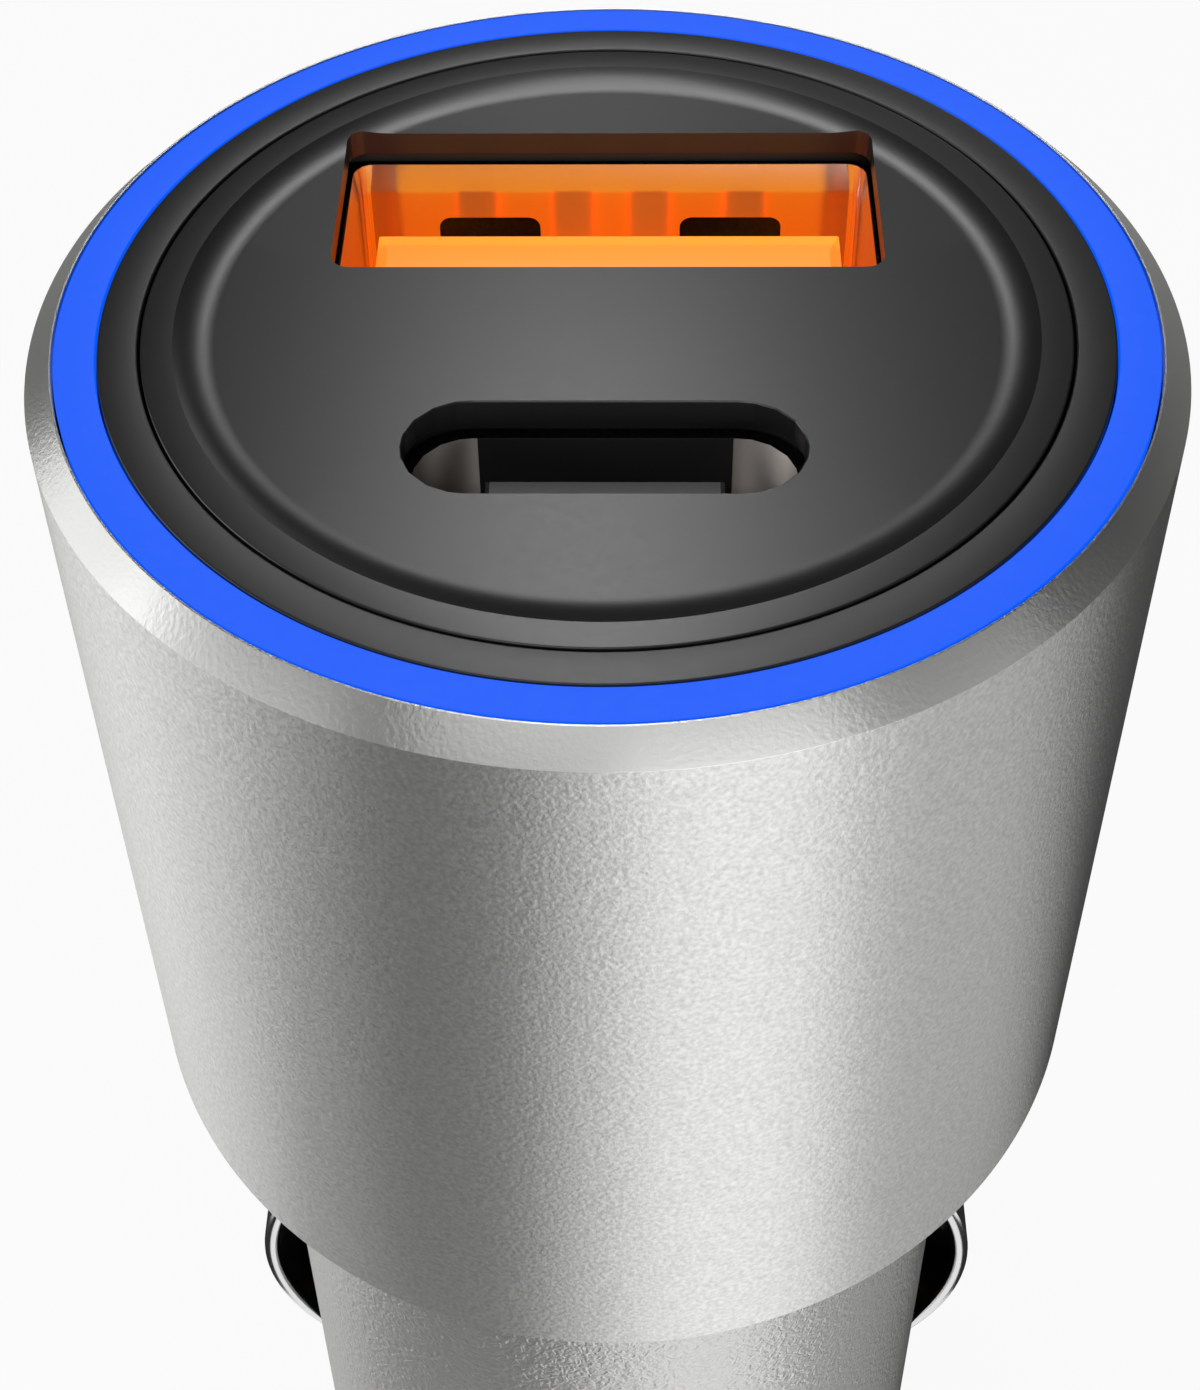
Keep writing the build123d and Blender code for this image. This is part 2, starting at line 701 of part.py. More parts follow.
with BuildPart() as output_capacitor:
    radius = output_capacitor_diameter / 2
    with Locations((-board_face - capacitor_gap - radius, 0, output_capacitor_bottom)):
        Cylinder(radius, output_capacitor_length, align=(Align.CENTER, Align.CENTER, Align.MIN))
output_capacitor.part.label = "output_capacitor"
export_step(output_capacitor.part, "parts/output_capacitor.step")

with BuildPart() as rectifier:
    with Locations((-board_face, 0, rectifier_top)):
        Box(*rectifier_size, align=(Align.MAX, Align.CENTER, Align.MAX))
rectifier.part.label = "rectifier"
export_step(rectifier.part, "parts/rectifier.step")

lowest_ceramic_z = barrel_bottom + tab_height + ceramic_rise
ceramic_places = [
    (side * ceramic_y, lowest_ceramic_z + row * ceramic_pitch) for row in range(ceramic_rows) for side in (-1, 1)
]
for number, (y, z) in enumerate(ceramic_places, start=1):
    with BuildPart() as ceramic_capacitor:
        with Locations((board_face, y, z)):
            Box(*ceramic_size, align=(Align.MIN, Align.CENTER, Align.CENTER))
    ceramic_capacitor.part.label = f"ceramic_capacitor_{number}"
    export_step(ceramic_capacitor.part, f"parts/ceramic_capacitor_{number}.step")

# Ground ring: a brass washer under the sleeve's end, with a tab that is soldered to the board
tab_near = board_face
tab_far = board_face + tab_thickness
with BuildPart() as ground_ring:
    with BuildSketch(Plane.XY.offset(nose_shoulder)):
        Circle(nose_groove_radius)
        Circle(spigot_radius + slip, mode=Mode.SUBTRACT)
        with Locations((tab_near, ground_tab_y - ground_tab_width / 2)):
            Rectangle(
                tab_thickness,
                spigot_radius + slip - ground_tab_y + ground_tab_width,
                align=(Align.MIN, Align.MIN),
            )
    extrude(amount=ground_ring_thickness)
    with BuildSketch(Plane.XY.offset(barrel_bottom)):
        with Locations((tab_near, ground_tab_y - ground_tab_width / 2)):
            Rectangle(tab_thickness, ground_tab_width, align=(Align.MIN, Align.MIN))
    extrude(amount=tab_height)
ground_ring.part.label = "ground_ring"
export_step(ground_ring.part, "parts/ground_ring.step")

# Positive terminal: a brass disc that the spring presses on, with a tab on the board
with BuildPart() as positive_terminal:
    with BuildSketch(Plane.XY.offset(terminal_bottom)):
        Circle(terminal_radius)
    extrude(amount=terminal_thickness)
    with BuildSketch(Plane.XY.offset(terminal_top)):
        with Locations((tab_near, 0)):
            Rectangle(tab_thickness, terminal_tab_width, align=(Align.MIN, Align.CENTER))
    extrude(amount=tab_height)
positive_terminal.part.label = "positive_terminal"
export_step(positive_terminal.part, "parts/positive_terminal.step")

# Nose cap: a moulded nose with a spigot in the inner body, a guide, a rounded taper and the bore
# of the tip contact
spring_bore = tip_flange_radius + slide_play
with BuildPart() as nose_cap:
    with BuildSketch(Plane.XZ):
        with BuildLine():
            Polyline(
                (nose_front_diameter / 2, nose_front),
                (tip_radius + slide_play, nose_front),
                (tip_radius + slide_play, tip_seat),
                (spring_bore, tip_seat),
                (spring_bore, terminal_bottom),
                (terminal_radius + slip, terminal_bottom),
                (terminal_radius + slip, spigot_top),
                (spigot_radius, spigot_top),
                (spigot_radius, nose_shoulder),
                (nose_groove_radius, nose_shoulder),
                (nose_groove_radius, nose_guide_top),
                (nose_radius, nose_guide_top),
                (nose_radius, nose_guide_bottom),
            )
            TangentArc(
                (nose_radius, nose_guide_bottom), (nose_front_diameter / 2, nose_front), tangent=(0, -1)
            )
        make_face()
    revolve(axis=Axis.Z)
    with BuildSketch(Plane.XY.offset(spigot_top)):
        with Locations((tab_near - board_play, ground_tab_y - ground_tab_width / 2 - board_play)):
            Rectangle(tab_thickness + 2 * board_play, spigot_radius, align=(Align.MIN, Align.MIN))
    extrude(amount=nose_shoulder - spigot_top, mode=Mode.SUBTRACT)
nose_cap.part.label = "nose_cap"
export_step(nose_cap.part, "parts/nose_cap.step")

# Tip contact: a turned pin with a domed end and a flange that stops on the nose's front wall
with BuildPart() as tip_contact:
    dome_radius = (tip_radius**2 + tip_dome**2) / (2 * tip_dome)
    dome_middle_drop = dome_radius - sqrt(dome_radius**2 - (tip_radius / 2) ** 2)
    with BuildSketch(Plane.XZ):
        with BuildLine():
            ThreePointArc(
                (0, tip_end), (tip_radius / 2, tip_end + dome_middle_drop), (tip_radius, tip_end + tip_dome)
            )
            Polyline(
                (tip_radius, tip_end + tip_dome),
                (tip_radius, tip_seat),
                (tip_flange_radius, tip_seat),
                (tip_flange_radius, tip_seat + tip_flange_height),
                (0, tip_seat + tip_flange_height),
                (0, tip_end),
            )
        make_face()
    revolve(axis=Axis.Z)
tip_contact.part.label = "tip_contact"
export_step(tip_contact.part, "parts/tip_contact.step")

# Tip spring: a coil between the tip contact's flange and the positive terminal. Its wire has six
# flats, since a round one this thin would need more facets than all other pieces together.
spring_bottom = tip_seat + tip_flange_height + spring_wire / 2 + slip
spring_height = terminal_bottom - spring_wire / 2 - slip - spring_bottom
with BuildPart() as tip_spring:
    with BuildLine() as coil:
        Helix(spring_height / spring_turns, spring_height, spring_radius, center=(0, 0, spring_bottom))
    with BuildSketch(Plane(origin=coil.line @ 0, z_dir=coil.line % 0)):
        RegularPolygon(spring_wire / 2, side_count=6)
    sweep(path=coil.line, is_frenet=True)
tip_spring.part.label = "tip_spring"
export_step(tip_spring.part, "parts/tip_spring.step")
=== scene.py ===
# %% [markdown]
# # A USB car charger plug
# The real plug is a turned aluminium head on a metal barrel. The head's face holds a lit blue ring,
# a black bezel and a black plate with two ports, and two chromed strips bow out of the barrel. This
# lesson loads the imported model, which fixes every size and place, and then gives each piece the
# shape and finish that the eye looks for: rounded edges, grain, seams and reflections.

# %% Load the frame
import json
from math import asin, atan2, cos, pi, radians, sin, sqrt

import bmesh
import bpy
from mathutils import Matrix, Vector


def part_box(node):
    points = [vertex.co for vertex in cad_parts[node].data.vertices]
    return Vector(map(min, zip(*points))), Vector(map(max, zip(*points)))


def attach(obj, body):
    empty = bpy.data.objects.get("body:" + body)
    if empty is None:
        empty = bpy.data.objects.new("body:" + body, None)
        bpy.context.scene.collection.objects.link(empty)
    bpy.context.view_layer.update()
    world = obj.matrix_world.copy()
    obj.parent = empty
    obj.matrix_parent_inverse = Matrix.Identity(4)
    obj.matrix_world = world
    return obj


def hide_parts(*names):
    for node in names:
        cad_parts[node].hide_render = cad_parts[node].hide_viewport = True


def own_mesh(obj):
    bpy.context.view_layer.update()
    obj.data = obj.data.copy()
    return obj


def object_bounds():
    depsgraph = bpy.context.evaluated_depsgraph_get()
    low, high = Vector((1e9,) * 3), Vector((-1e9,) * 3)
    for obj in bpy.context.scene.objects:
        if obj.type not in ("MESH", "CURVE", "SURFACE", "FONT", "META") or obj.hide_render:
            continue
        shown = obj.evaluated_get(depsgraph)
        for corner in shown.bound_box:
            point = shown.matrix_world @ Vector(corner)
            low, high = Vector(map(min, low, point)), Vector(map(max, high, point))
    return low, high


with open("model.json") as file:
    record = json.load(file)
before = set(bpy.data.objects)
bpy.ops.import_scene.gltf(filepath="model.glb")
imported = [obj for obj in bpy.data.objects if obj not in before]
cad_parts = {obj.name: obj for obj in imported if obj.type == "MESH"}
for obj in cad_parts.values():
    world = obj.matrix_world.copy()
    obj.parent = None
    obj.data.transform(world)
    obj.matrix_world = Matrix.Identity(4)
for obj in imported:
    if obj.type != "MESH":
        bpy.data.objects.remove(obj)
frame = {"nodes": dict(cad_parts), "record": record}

cad_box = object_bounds()
MM = 0.001
print("nodes in the frame:", len(frame["nodes"]))


# %% [markdown]
# ## Sizes from the frame
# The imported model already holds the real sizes, so they are read from the boxes of its nodes and
# not typed again. Only what a box can't tell, such as the width of a bevel, gets a value of its own
# further down. All sizes here are in millimetres, and a mesh is turned to metres when it is made.

# %% Read the boxes
def box_mm(node):
    low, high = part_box(node)
    return low / MM, high / MM


head_low, head_high = box_mm("head_shell")
barrel_low, barrel_high = box_mm("barrel_sleeve")
head_radius = head_high.x
barrel_radius = barrel_high.x
top = head_high.z
print("head", round(head_radius * 2, 2), "mm across, face at", round(top, 2), "mm")


# %% [markdown]
# ## The camera
# The photograph was taken from close by, a little to one side, and about 45 degrees above the face,
# so the barrel shrinks fast towards the bottom. The camera is set by its angle, its distance from
# the middle of the face and its lens, and a small vertical shift places the plug in the picture.

# %% Set up the camera
camera_elevation = radians(45.5)
camera_azimuth = radians(1.3)
camera_roll = radians(-0.85)
camera_distance = 53.84
camera_slide = (-0.14, -6.15)
sensor = 36.0
lens = 62.24
shift_down = -0.08
nearest_seen = 5.0

camera_data = bpy.data.cameras.new("camera")
camera_data.sensor_width = sensor
camera_data.lens = lens
camera_data.shift_y = shift_down
camera_data.clip_start = nearest_seen * MM
camera = bpy.data.objects.new("camera", camera_data)
bpy.context.scene.collection.objects.link(camera)
bpy.context.scene.camera = camera

away = Vector((
    sin(camera_azimuth) * cos(camera_elevation),
    -cos(camera_azimuth) * cos(camera_elevation),
    sin(camera_elevation),
))
level = Vector((0, 0, 1)).cross(away).normalized()
upward = away.cross(level)
right = cos(camera_roll) * level + sin(camera_roll) * upward
upward = away.cross(right)
slide = right * camera_slide[0] + upward * camera_slide[1]
stand = Vector((0, 0, top)) + away * camera_distance + slide
turn = Matrix((right, upward, away)).transposed().to_4x4()
camera.matrix_world = Matrix.Translation(stand * MM) @ turn
print("camera stands at", [round(v, 1) for v in stand], "mm")


# %% [markdown]
# ## Colours and nodes
# Colours are written as sRGB hex values, as they would be picked from a paint chart, and one
# function turns them to the linear values that a shader wants. One more small function adds a node,
# sets its options, and links or sets its inputs.

# %% Helpers for materials
def linear(hex_code):
    """Linear red, green, blue and alpha of an sRGB hex colour."""
    channels = [int(hex_code[i:i + 2], 16) / 255 for i in (0, 2, 4)]
    return [c / 12.92 if c <= 0.04045 else ((c + 0.055) / 1.055) ** 2.4 for c in channels] + [1.0]


def darker(hex_code, share):
    """The linear colour with only a share of its light."""
    return [c * share for c in linear(hex_code)[:3]] + [1.0]


def add(tree, kind, inputs=None, **settings):
    """Adds a node. An input that is another node's socket is linked, and any other value is set."""
    made = tree.nodes.new(kind)
    for name, value in settings.items():
        setattr(made, name, value)
    for name, value in (inputs or {}).items():
        if isinstance(value, bpy.types.NodeSocket):
            tree.links.new(value, made.inputs[name])
        else:
            made.inputs[name].default_value = value
    return made


def new_material(name):
    """An empty material: its tree, its output and the object's own coordinates."""
    material = bpy.data.materials.new(name)
    material.use_nodes = True
    tree = material.node_tree
    tree.nodes.clear()
    output = add(tree, "ShaderNodeOutputMaterial")
    place = add(tree, "ShaderNodeTexCoord").outputs["Object"]
    return material, tree, output, place


materials = {}
print("sRGB 808080 is", round(linear("808080")[0], 3), "in linear values")


# %% [markdown]
# ## Floor and sky
# The plug stands on a pale floor, far wider than the view. The floor and the world are white to the
# camera, which adds no light to the plug, and mirrors and clear pieces see that white floor too. A
# Light Path node tells such looks apart from the rays that carry light.

# %% Make the floor and the sky
def background_seen(tree, *rays):
    """One where the camera, or a mirror or a clear piece, looks at the background, and else nought."""
    path = add(tree, "ShaderNodeLightPath").outputs
    seen = path["Is Camera Ray"]
    for ray in rays or ("Is Glossy Ray", "Is Transmission Ray"):
        seen = add(tree, "ShaderNodeMath", {0: seen, 1: path[ray]}, operation="ADD").outputs[0]
    return seen


floor_size = 12000.0
floor_glow = 0.9
world_light = 0.03
floor_level = cad_box[0].z
half = floor_size / 2 * MM
floor_mesh = bpy.data.meshes.new("floor")
corner_signs = ((-1, -1), (1, -1), (1, 1), (-1, 1))
floor_mesh.from_pydata([(x * half, y * half, floor_level) for x, y in corner_signs], [], [(0, 1, 2, 3)])
floor = bpy.data.objects.new("floor", floor_mesh)
bpy.context.scene.collection.objects.link(floor)
matt_floor, tree, output, place = new_material("matt_pale_floor")
paint = add(tree, "ShaderNodeBsdfPrincipled", {"Base Color": linear("EFEFEE"), "Roughness": 0.9})
white = add(tree, "ShaderNodeEmission", {"Color": linear("FFFFFF"), "Strength": 1.0})
share = add(tree, "ShaderNodeMath", {0: background_seen(tree), 1: floor_glow}, operation="MULTIPLY")
mixed = add(tree, "ShaderNodeMixShader", {0: share.outputs[0], 1: paint.outputs[0], 2: white.outputs[0]})
tree.links.new(mixed.outputs[0], output.inputs["Surface"])
floor.data.materials.append(matt_floor)

world = bpy.data.worlds.new("studio")
world.use_nodes = True
sky = world.node_tree.nodes["Background"]
sky.inputs["Color"].default_value = linear("FFFFFF")
strength = add(world.node_tree, "ShaderNodeMapRange", {
    "Value": background_seen(world.node_tree, "Is Transmission Ray"),
    "To Min": world_light, "To Max": floor_glow,
})
world.node_tree.links.new(strength.outputs[0], sky.inputs["Strength"])
bpy.context.scene.world = world
bpy.context.scene.view_settings.view_transform = "Standard"
print("floor", round(floor_size * MM), "m wide, at", round(floor_level / MM, 2), "mm")


# %% [markdown]
# ## Soft boxes
# A wide soft box right of the camera and one at the left give the turned wall its two bright bands,
# because such a wall shows each light as a band along its length. Weaker boxes fill the sides, one
# above the camera lights the bevel, and one above the far side puts the soft streak on the black
# face. All stand on a sphere round the plug, so each needs only two angles, a size and a strength.

# %% Set up the soft boxes
lamp_distance = 500.0


def soft_box(name, azimuth, elevation, width, height, radiance):
    """A lamp that faces the plug: azimuth 0 is the camera's side, and sizes are in mm."""
    lamp = bpy.data.lights.new(name, "AREA")
    lamp.shape = "RECTANGLE"
    lamp.size = width * MM
    lamp.size_y = height * MM
    lamp.energy = radiance * pi * lamp.size * lamp.size_y
    holder = bpy.data.objects.new(name, lamp)
    bpy.context.scene.collection.objects.link(holder)
    a, e = radians(azimuth), radians(elevation)
    back = Vector((sin(a) * cos(e), -cos(a) * cos(e), sin(e)))
    facing = back.to_track_quat("Z", "Y").to_matrix().to_4x4()
    holder.matrix_world = Matrix.Translation(back * lamp_distance * MM) @ facing


soft_box("front_box", azimuth=21, elevation=9, width=350, height=210, radiance=7.4)
soft_box("right_fill", azimuth=60, elevation=12, width=350, height=230, radiance=1.5)
soft_box("left_box", azimuth=-101, elevation=16, width=310, height=330, radiance=2.7)
soft_box("left_fill", azimuth=-66, elevation=14, width=420, height=240, radiance=2.7)
soft_box("top_box", azimuth=-20, elevation=50, width=240, height=150, radiance=3.6)
soft_box("zenith_box", azimuth=0, elevation=90, width=300, height=300, radiance=0.8)
soft_box("back_box", azimuth=182, elevation=58, width=50, height=300, radiance=12.0)
soft_box("back_fill", azimuth=165, elevation=14, width=120, height=200, radiance=1.2)
print("soft boxes:", len(bpy.data.lights))


# %% [markdown]
# ## Dark cards
# A photographer lays black cards beside shiny metal so that it has something dark to reflect, and
# its bands get their depth. Five such cards lie on the floor here: one in front, one at each side
# behind, and one small one for each side contact. The camera doesn't see them, and they take no
# light from the floor.

# %% Lay the dark cards
card_steps = 24
card_lift = 0.2
card_reach = 400.0


def dark_card(name, start, finish, inner, outer):
    """A sector of a ring on the floor, between two azimuths in degrees and two radii in mm."""
    angles = [radians(start + (finish - start) * i / card_steps) for i in range(card_steps + 1)]
    level = floor_level + card_lift * MM
    points = [(sin(a) * r * MM, -cos(a) * r * MM, level) for a in angles for r in (inner, outer)]
    faces = [(2 * i, 2 * i + 1, 2 * i + 3, 2 * i + 2) for i in range(card_steps)]
    mesh = bpy.data.meshes.new(name)
    mesh.from_pydata(points, [], faces)
    card = bpy.data.objects.new(name, mesh)
    bpy.context.scene.collection.objects.link(card)
    card.visible_camera = False
    card.visible_diffuse = False
    card.visible_shadow = False
    black_card, tree, output, place = new_material(name)
    paint = add(tree, "ShaderNodeBsdfPrincipled", {"Base Color": linear("202020"), "Roughness": 0.9})
    tree.links.new(paint.outputs[0], output.inputs["Surface"])
    mesh.materials.append(black_card)


dark_card("front_card", start=-66, finish=-12, inner=31, outer=card_reach)
dark_card("right_card", start=95, finish=170, inner=12, outer=card_reach)
dark_card("left_card", start=-178, finish=-124, inner=12, outer=card_reach)
dark_card("left_contact_card", start=-124, finish=-50, inner=20, outer=44)
dark_card("right_contact_card", start=50, finish=95, inner=20, outer=44)
print("cards reach", card_reach, "mm from the plug")


# %% [markdown]
# ## Turned metal
# The head and the barrel are turned from aluminium bar, blasted with fine beads and anodised clear.
# Turning leaves rings round the axis, which stretch every reflection along the axis, so a lamp shows
# as a soft band from top to bottom. That is what Anisotropic does with a tangent that runs round Z.
# Blasting adds a grain of a tenth of a millimetre. The barrel's grain is coarser, like fine leather,
# and is drawn with a second, larger pattern. The bevel is cut after the blasting, so it is finer, and
# its darker tint is painted shade.

# %% Metals
bevel_width = 0.62
cut_smoothness = 0.8
cut_grain = 0.6
small_port_roughness = 0.55
grain_detail = 2.0
pebble_detail = 1.0
pebble_distortion = 0.6
quarter_turn = 0.25
# colour of the orange glow painted on the gold contacts in the rear port
painted_spill_colour = "FF8020"
over_all = 99.0
# a thin band at the top of the receptacle steel, painted near-black as shade
painted_shade_band = 0.01
shell_top = box_mm("usb_a_shell")[1].z


def metal(name, colour, roughness, grain, relief, stretch=0.0, pebble=0.0, pebble_relief=0.0,
          speckle=0.0, cut=over_all, painted_shade_above_cut=1.0, drawn=False, painted_spill=0.0):
    """A bare metal. Grain, pebbles and their relief are in mm.

    Above the height cut it is finer, and darker by painted shade. A drawn metal is stretched along Z,
    and rougher in the front port. Spill is a painted orange glow in the rear port, for the orange light
    that the port's tongue throws on it.
    """
    material, tree, output, place = new_material(name)
    axes = add(tree, "ShaderNodeSeparateXYZ", {0: place}).outputs
    above = add(tree, "ShaderNodeMath", {0: axes["Z"], 1: cut * MM}, operation="GREATER_THAN").outputs[0]
    roughness = add(tree, "ShaderNodeMapRange", {
        "Value": above, "To Min": roughness, "To Max": roughness * cut_smoothness,
    }).outputs[0]
    strength = add(tree, "ShaderNodeMapRange", {"Value": above, "To Min": 1.0, "To Max": cut_grain})
    noise = add(tree, "ShaderNodeTexNoise", {
        "Vector": place, "Scale": 1 / (grain * MM), "Detail": grain_detail,
    })
    bump = add(tree, "ShaderNodeBump", {
        "Height": noise.outputs[0], "Distance": relief * MM, "Strength": strength.outputs[0],
    })
    if pebble:
        cells = add(tree, "ShaderNodeTexNoise", {
            "Vector": place, "Scale": 1 / (pebble * MM), "Detail": pebble_detail,
            "Distortion": pebble_distortion,
        })
        bump = add(tree, "ShaderNodeBump", {
            "Height": cells.outputs[0], "Distance": pebble_relief * MM, "Strength": 1.0,
            "Normal": bump.outputs[0],
        })
    tint = add(tree, "ShaderNodeMix", {
        0: noise.outputs[0], 6: darker(colour, 1 - speckle), 7: linear(colour),
    }, data_type="RGBA")
    # above the cut the tint is darker: painted shade
    if painted_shade_above_cut < 1:
        tint = add(tree, "ShaderNodeMix", {
            0: above, 6: tint.outputs[2], 7: darker(colour, painted_shade_above_cut),
        }, data_type="RGBA")
    if drawn:
        along = add(tree, "ShaderNodeCombineXYZ", {"Z": 1.0})
        small = add(tree, "ShaderNodeMath", {0: axes["Y"], 1: 0.0}, operation="LESS_THAN").outputs[0]
        roughness = add(tree, "ShaderNodeMapRange", {
            "Value": small, "To Min": roughness, "To Max": small_port_roughness,
        }).outputs[0]
    else:
        along = add(tree, "ShaderNodeTangent", direction_type="RADIAL", axis="Z")
    shader = add(tree, "ShaderNodeBsdfPrincipled", {
        "Base Color": tint.outputs[2], "Metallic": 1.0, "Roughness": roughness,
        "Normal": bump.outputs[0], "Tangent": along.outputs[0], "Anisotropic": stretch,
        "Anisotropic Rotation": 0.0 if drawn else quarter_turn,
    })
    # a painted orange glow on the gold in the rear port stands for the tongue's orange light
    if painted_spill:
        lit = add(tree, "ShaderNodeMath", {0: axes["Y"], 1: 0.0}, operation="GREATER_THAN").outputs[0]
        lit = add(tree, "ShaderNodeMath", {0: lit, 1: painted_spill}, operation="MULTIPLY").outputs[0]
        shader.inputs["Emission Color"].default_value = linear(painted_spill_colour)
        tree.links.new(lit, shader.inputs["Emission Strength"])
    tree.links.new(shader.outputs[0], output.inputs["Surface"])
    materials[name] = material


# bead-blasted aluminium, clear anodised: satin, with a fine sparkle, and a bevel darkened by painted shade
metal("blasted_aluminium", "D6D6D4", 0.5, 0.12, 0.0115, stretch=0.9, speckle=0.5,
      cut=top - bevel_width, painted_shade_above_cut=0.72)
# the same metal with a coarse grain that gives grip in the socket
metal("grained_aluminium", "C2C2C0", 0.48, 0.1, 0.01, stretch=0.85, pebble=0.19,
      pebble_relief=0.045, speckle=0.3)
# stainless strip of both receptacles: drawn, bright, with the top of its mouth painted near-black as shade
metal("receptacle_steel", "E2DAD4", 0.2, 0.2, 0.0008, stretch=0.8, speckle=0.06,
      cut=shell_top - painted_shade_band, painted_shade_above_cut=0.02, drawn=True)
# nickel and chrome plate on spring bronze: a clear mirror
metal("contact_chrome", "E4E4E4", 0.16, 0.6, 0.0006, speckle=0.03)
# thin gold plate on the receptacles' contacts, with a painted orange glow in the rear port
metal("contact_plating", "F4D488", 0.5, 0.2, 0.0008, speckle=0.08, painted_spill=0.35)
# stamped brass, lightly tarnished
metal("terminal_brass", "D9B871", 0.3, 0.4, 0.001, speckle=0.15)
# drawn spring wire
metal("spring_steel", "B9BABD", 0.25, 0.15, 0.0008, speckle=0.1)
# drawn aluminium can of a capacitor
metal("capacitor_can", "CFCFD2", 0.3, 0.3, 0.001, speckle=0.08)
print("metals:", len(materials))


# %% [markdown]
# ## Moulded plastics
# Every plastic piece is injection-moulded, so its surface repeats that of the steel mould: smooth
# with a little texture on the face, satin on the nose. Gloss is a dielectric's, so only the colour,
# the roughness and the grain change from piece to piece. The light ring gives a little light of its
# own, because lamps behind it shine through. The orange tongue's glow is painted light, with painted
# highlights near its end and on the bevel of its end.

# %% Plastics
lit_depth = 0.3
# the tongue's painted highlight begins this far below the mouth
painted_highlight_depth = 2.2
tongue_bevel = 0.9
# past this place the bevel of the tongue's end gets a painted highlight
tongue_bevel_start = box_mm("usb_a_contact_1")[1].y - tongue_bevel
plastic_detail = 3.0
roughness_play = 0.1


def moulded(name, colour, roughness, grain, relief, variation=0.1, glow=0.0, glow_colour=None,
            lit_above=-over_all, painted_end_highlight=None, end=over_all, painted_bevel_highlight=None, bevel=over_all):
    """A moulded plastic. Glow is the light that it gives above a height, as a lit light guide does.

    Above the height end that light has another colour, and one more past the place bevel on Y. On the
    orange tongue that glow and both colours are painted light: a painted glow and painted highlights.
    """
    material, tree, output, place = new_material(name)
    axes = add(tree, "ShaderNodeSeparateXYZ", {0: place}).outputs
    above = add(tree, "ShaderNodeMath", {0: axes["Z"], 1: lit_above * MM}, operation="GREATER_THAN")
    light = add(tree, "ShaderNodeMath", {0: above.outputs[0], 1: glow}, operation="MULTIPLY").outputs[0]
    noise = add(tree, "ShaderNodeTexNoise", {
        "Vector": place, "Scale": 1 / (grain * MM), "Detail": plastic_detail,
    })
    bump = add(tree, "ShaderNodeBump", {
        "Height": noise.outputs[0], "Distance": relief * MM, "Strength": 1.0,
    })
    tint = add(tree, "ShaderNodeMix", {
        0: noise.outputs[0], 6: darker(colour, 1 - variation), 7: linear(colour),
    }, data_type="RGBA")
    rough = add(tree, "ShaderNodeMapRange", {
        "Value": noise.outputs[0],
        "To Min": roughness * (1 - roughness_play), "To Max": roughness * (1 + roughness_play),
    })
    # painted highlight: other glow colours near the end and on the bevel
    near_end = add(tree, "ShaderNodeMath", {0: axes["Z"], 1: end * MM}, operation="GREATER_THAN")
    glow_and_painted_light = add(tree, "ShaderNodeMix", {
        0: near_end.outputs[0], 6: linear(glow_colour or colour), 7: linear(painted_end_highlight or colour),
    }, data_type="RGBA")
    if painted_bevel_highlight:
        past = add(tree, "ShaderNodeMath", {0: axes["Y"], 1: bevel * MM}, operation="GREATER_THAN")
        both = add(tree, "ShaderNodeMath", {
            0: past.outputs[0], 1: near_end.outputs[0],
        }, operation="MULTIPLY")
        glow_and_painted_light = add(tree, "ShaderNodeMix", {
            0: both.outputs[0], 6: glow_and_painted_light.outputs[2], 7: linear(painted_bevel_highlight),
        }, data_type="RGBA")
    shader = add(tree, "ShaderNodeBsdfPrincipled", {
        "Base Color": tint.outputs[2], "Roughness": rough.outputs[0], "Normal": bump.outputs[0],
        "Emission Color": glow_and_painted_light.outputs[2], "Emission Strength": light,
    })
    tree.links.new(shader.outputs[0], output.inputs["Surface"])
    materials[name] = material


# clear acrylic light guide, lit blue from below: an even glow
moulded("blue_light_guide", "041A5A", 0.6, 0.3, 0.001, 0.02, glow=0.93, glow_colour="005AF8",
        lit_above=top - lit_depth)
# satin black ABS of the bezel
moulded("black_bezel", "1C1C1C", 0.34, 0.15, 0.0008)
# black polycarbonate face with a very fine spark texture
moulded("black_face", "1C1C1D", 0.3, 0.12, 0.0008)
# glass-filled nylon of the USB-A tongue, bright orange; its glow is painted light, with painted highlights
# near its end, brightest on the bevel of its end
moulded("orange_insulator", "FFA038", 0.4, 0.2, 0.001, 0.04, glow=0.7, glow_colour="FF7000",
        painted_end_highlight="FF8824", end=shell_top - painted_highlight_depth,
        painted_bevel_highlight="FFA01C", bevel=tongue_bevel_start)
# black liquid-crystal polymer of the USB-C tongue
moulded("black_insulator", "2E2E2E", 0.45, 0.15, 0.001)
# satin black ABS of the nose
moulded("nose_plastic", "222223", 0.38, 0.18, 0.003)
# natural black nylon inside
moulded("inner_plastic", "1B1B1C", 0.55, 0.25, 0.003)
# lamp body with its yellow phosphor
moulded("lamp", "F2E6A0", 0.4, 0.2, 0.001)
# pressed ferrite of the inductor
moulded("ferrite", "3A3A3C", 0.6, 0.08, 0.003, 0.3)
# moulded epoxy of the chips
moulded("chip_epoxy", "1E1E20", 0.55, 0.08, 0.002, 0.2)
# fired ceramic of the small capacitors
moulded("ceramic", "B58A5E", 0.45, 0.1, 0.001)
# green solder mask over glass cloth
moulded("circuit_board", "1C5B3A", 0.35, 0.4, 0.002, 0.25)

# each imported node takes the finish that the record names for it
for part in frame["record"]["subparts"]:
    mesh = frame["nodes"][part["node"]].data
    mesh.materials.clear()
    mesh.materials.append(materials[part["material_slot"]])
print("materials:", len(materials))


# %% [markdown]
# ## Outlines
# Most pieces here are turned or lofted from an outline. It is a short list of corners, each with a
# radius for its edge, because no real edge is perfectly sharp: a thin line of light along each edge
# is what makes metal look like metal.

# %% Outlines
edge_steps = 5


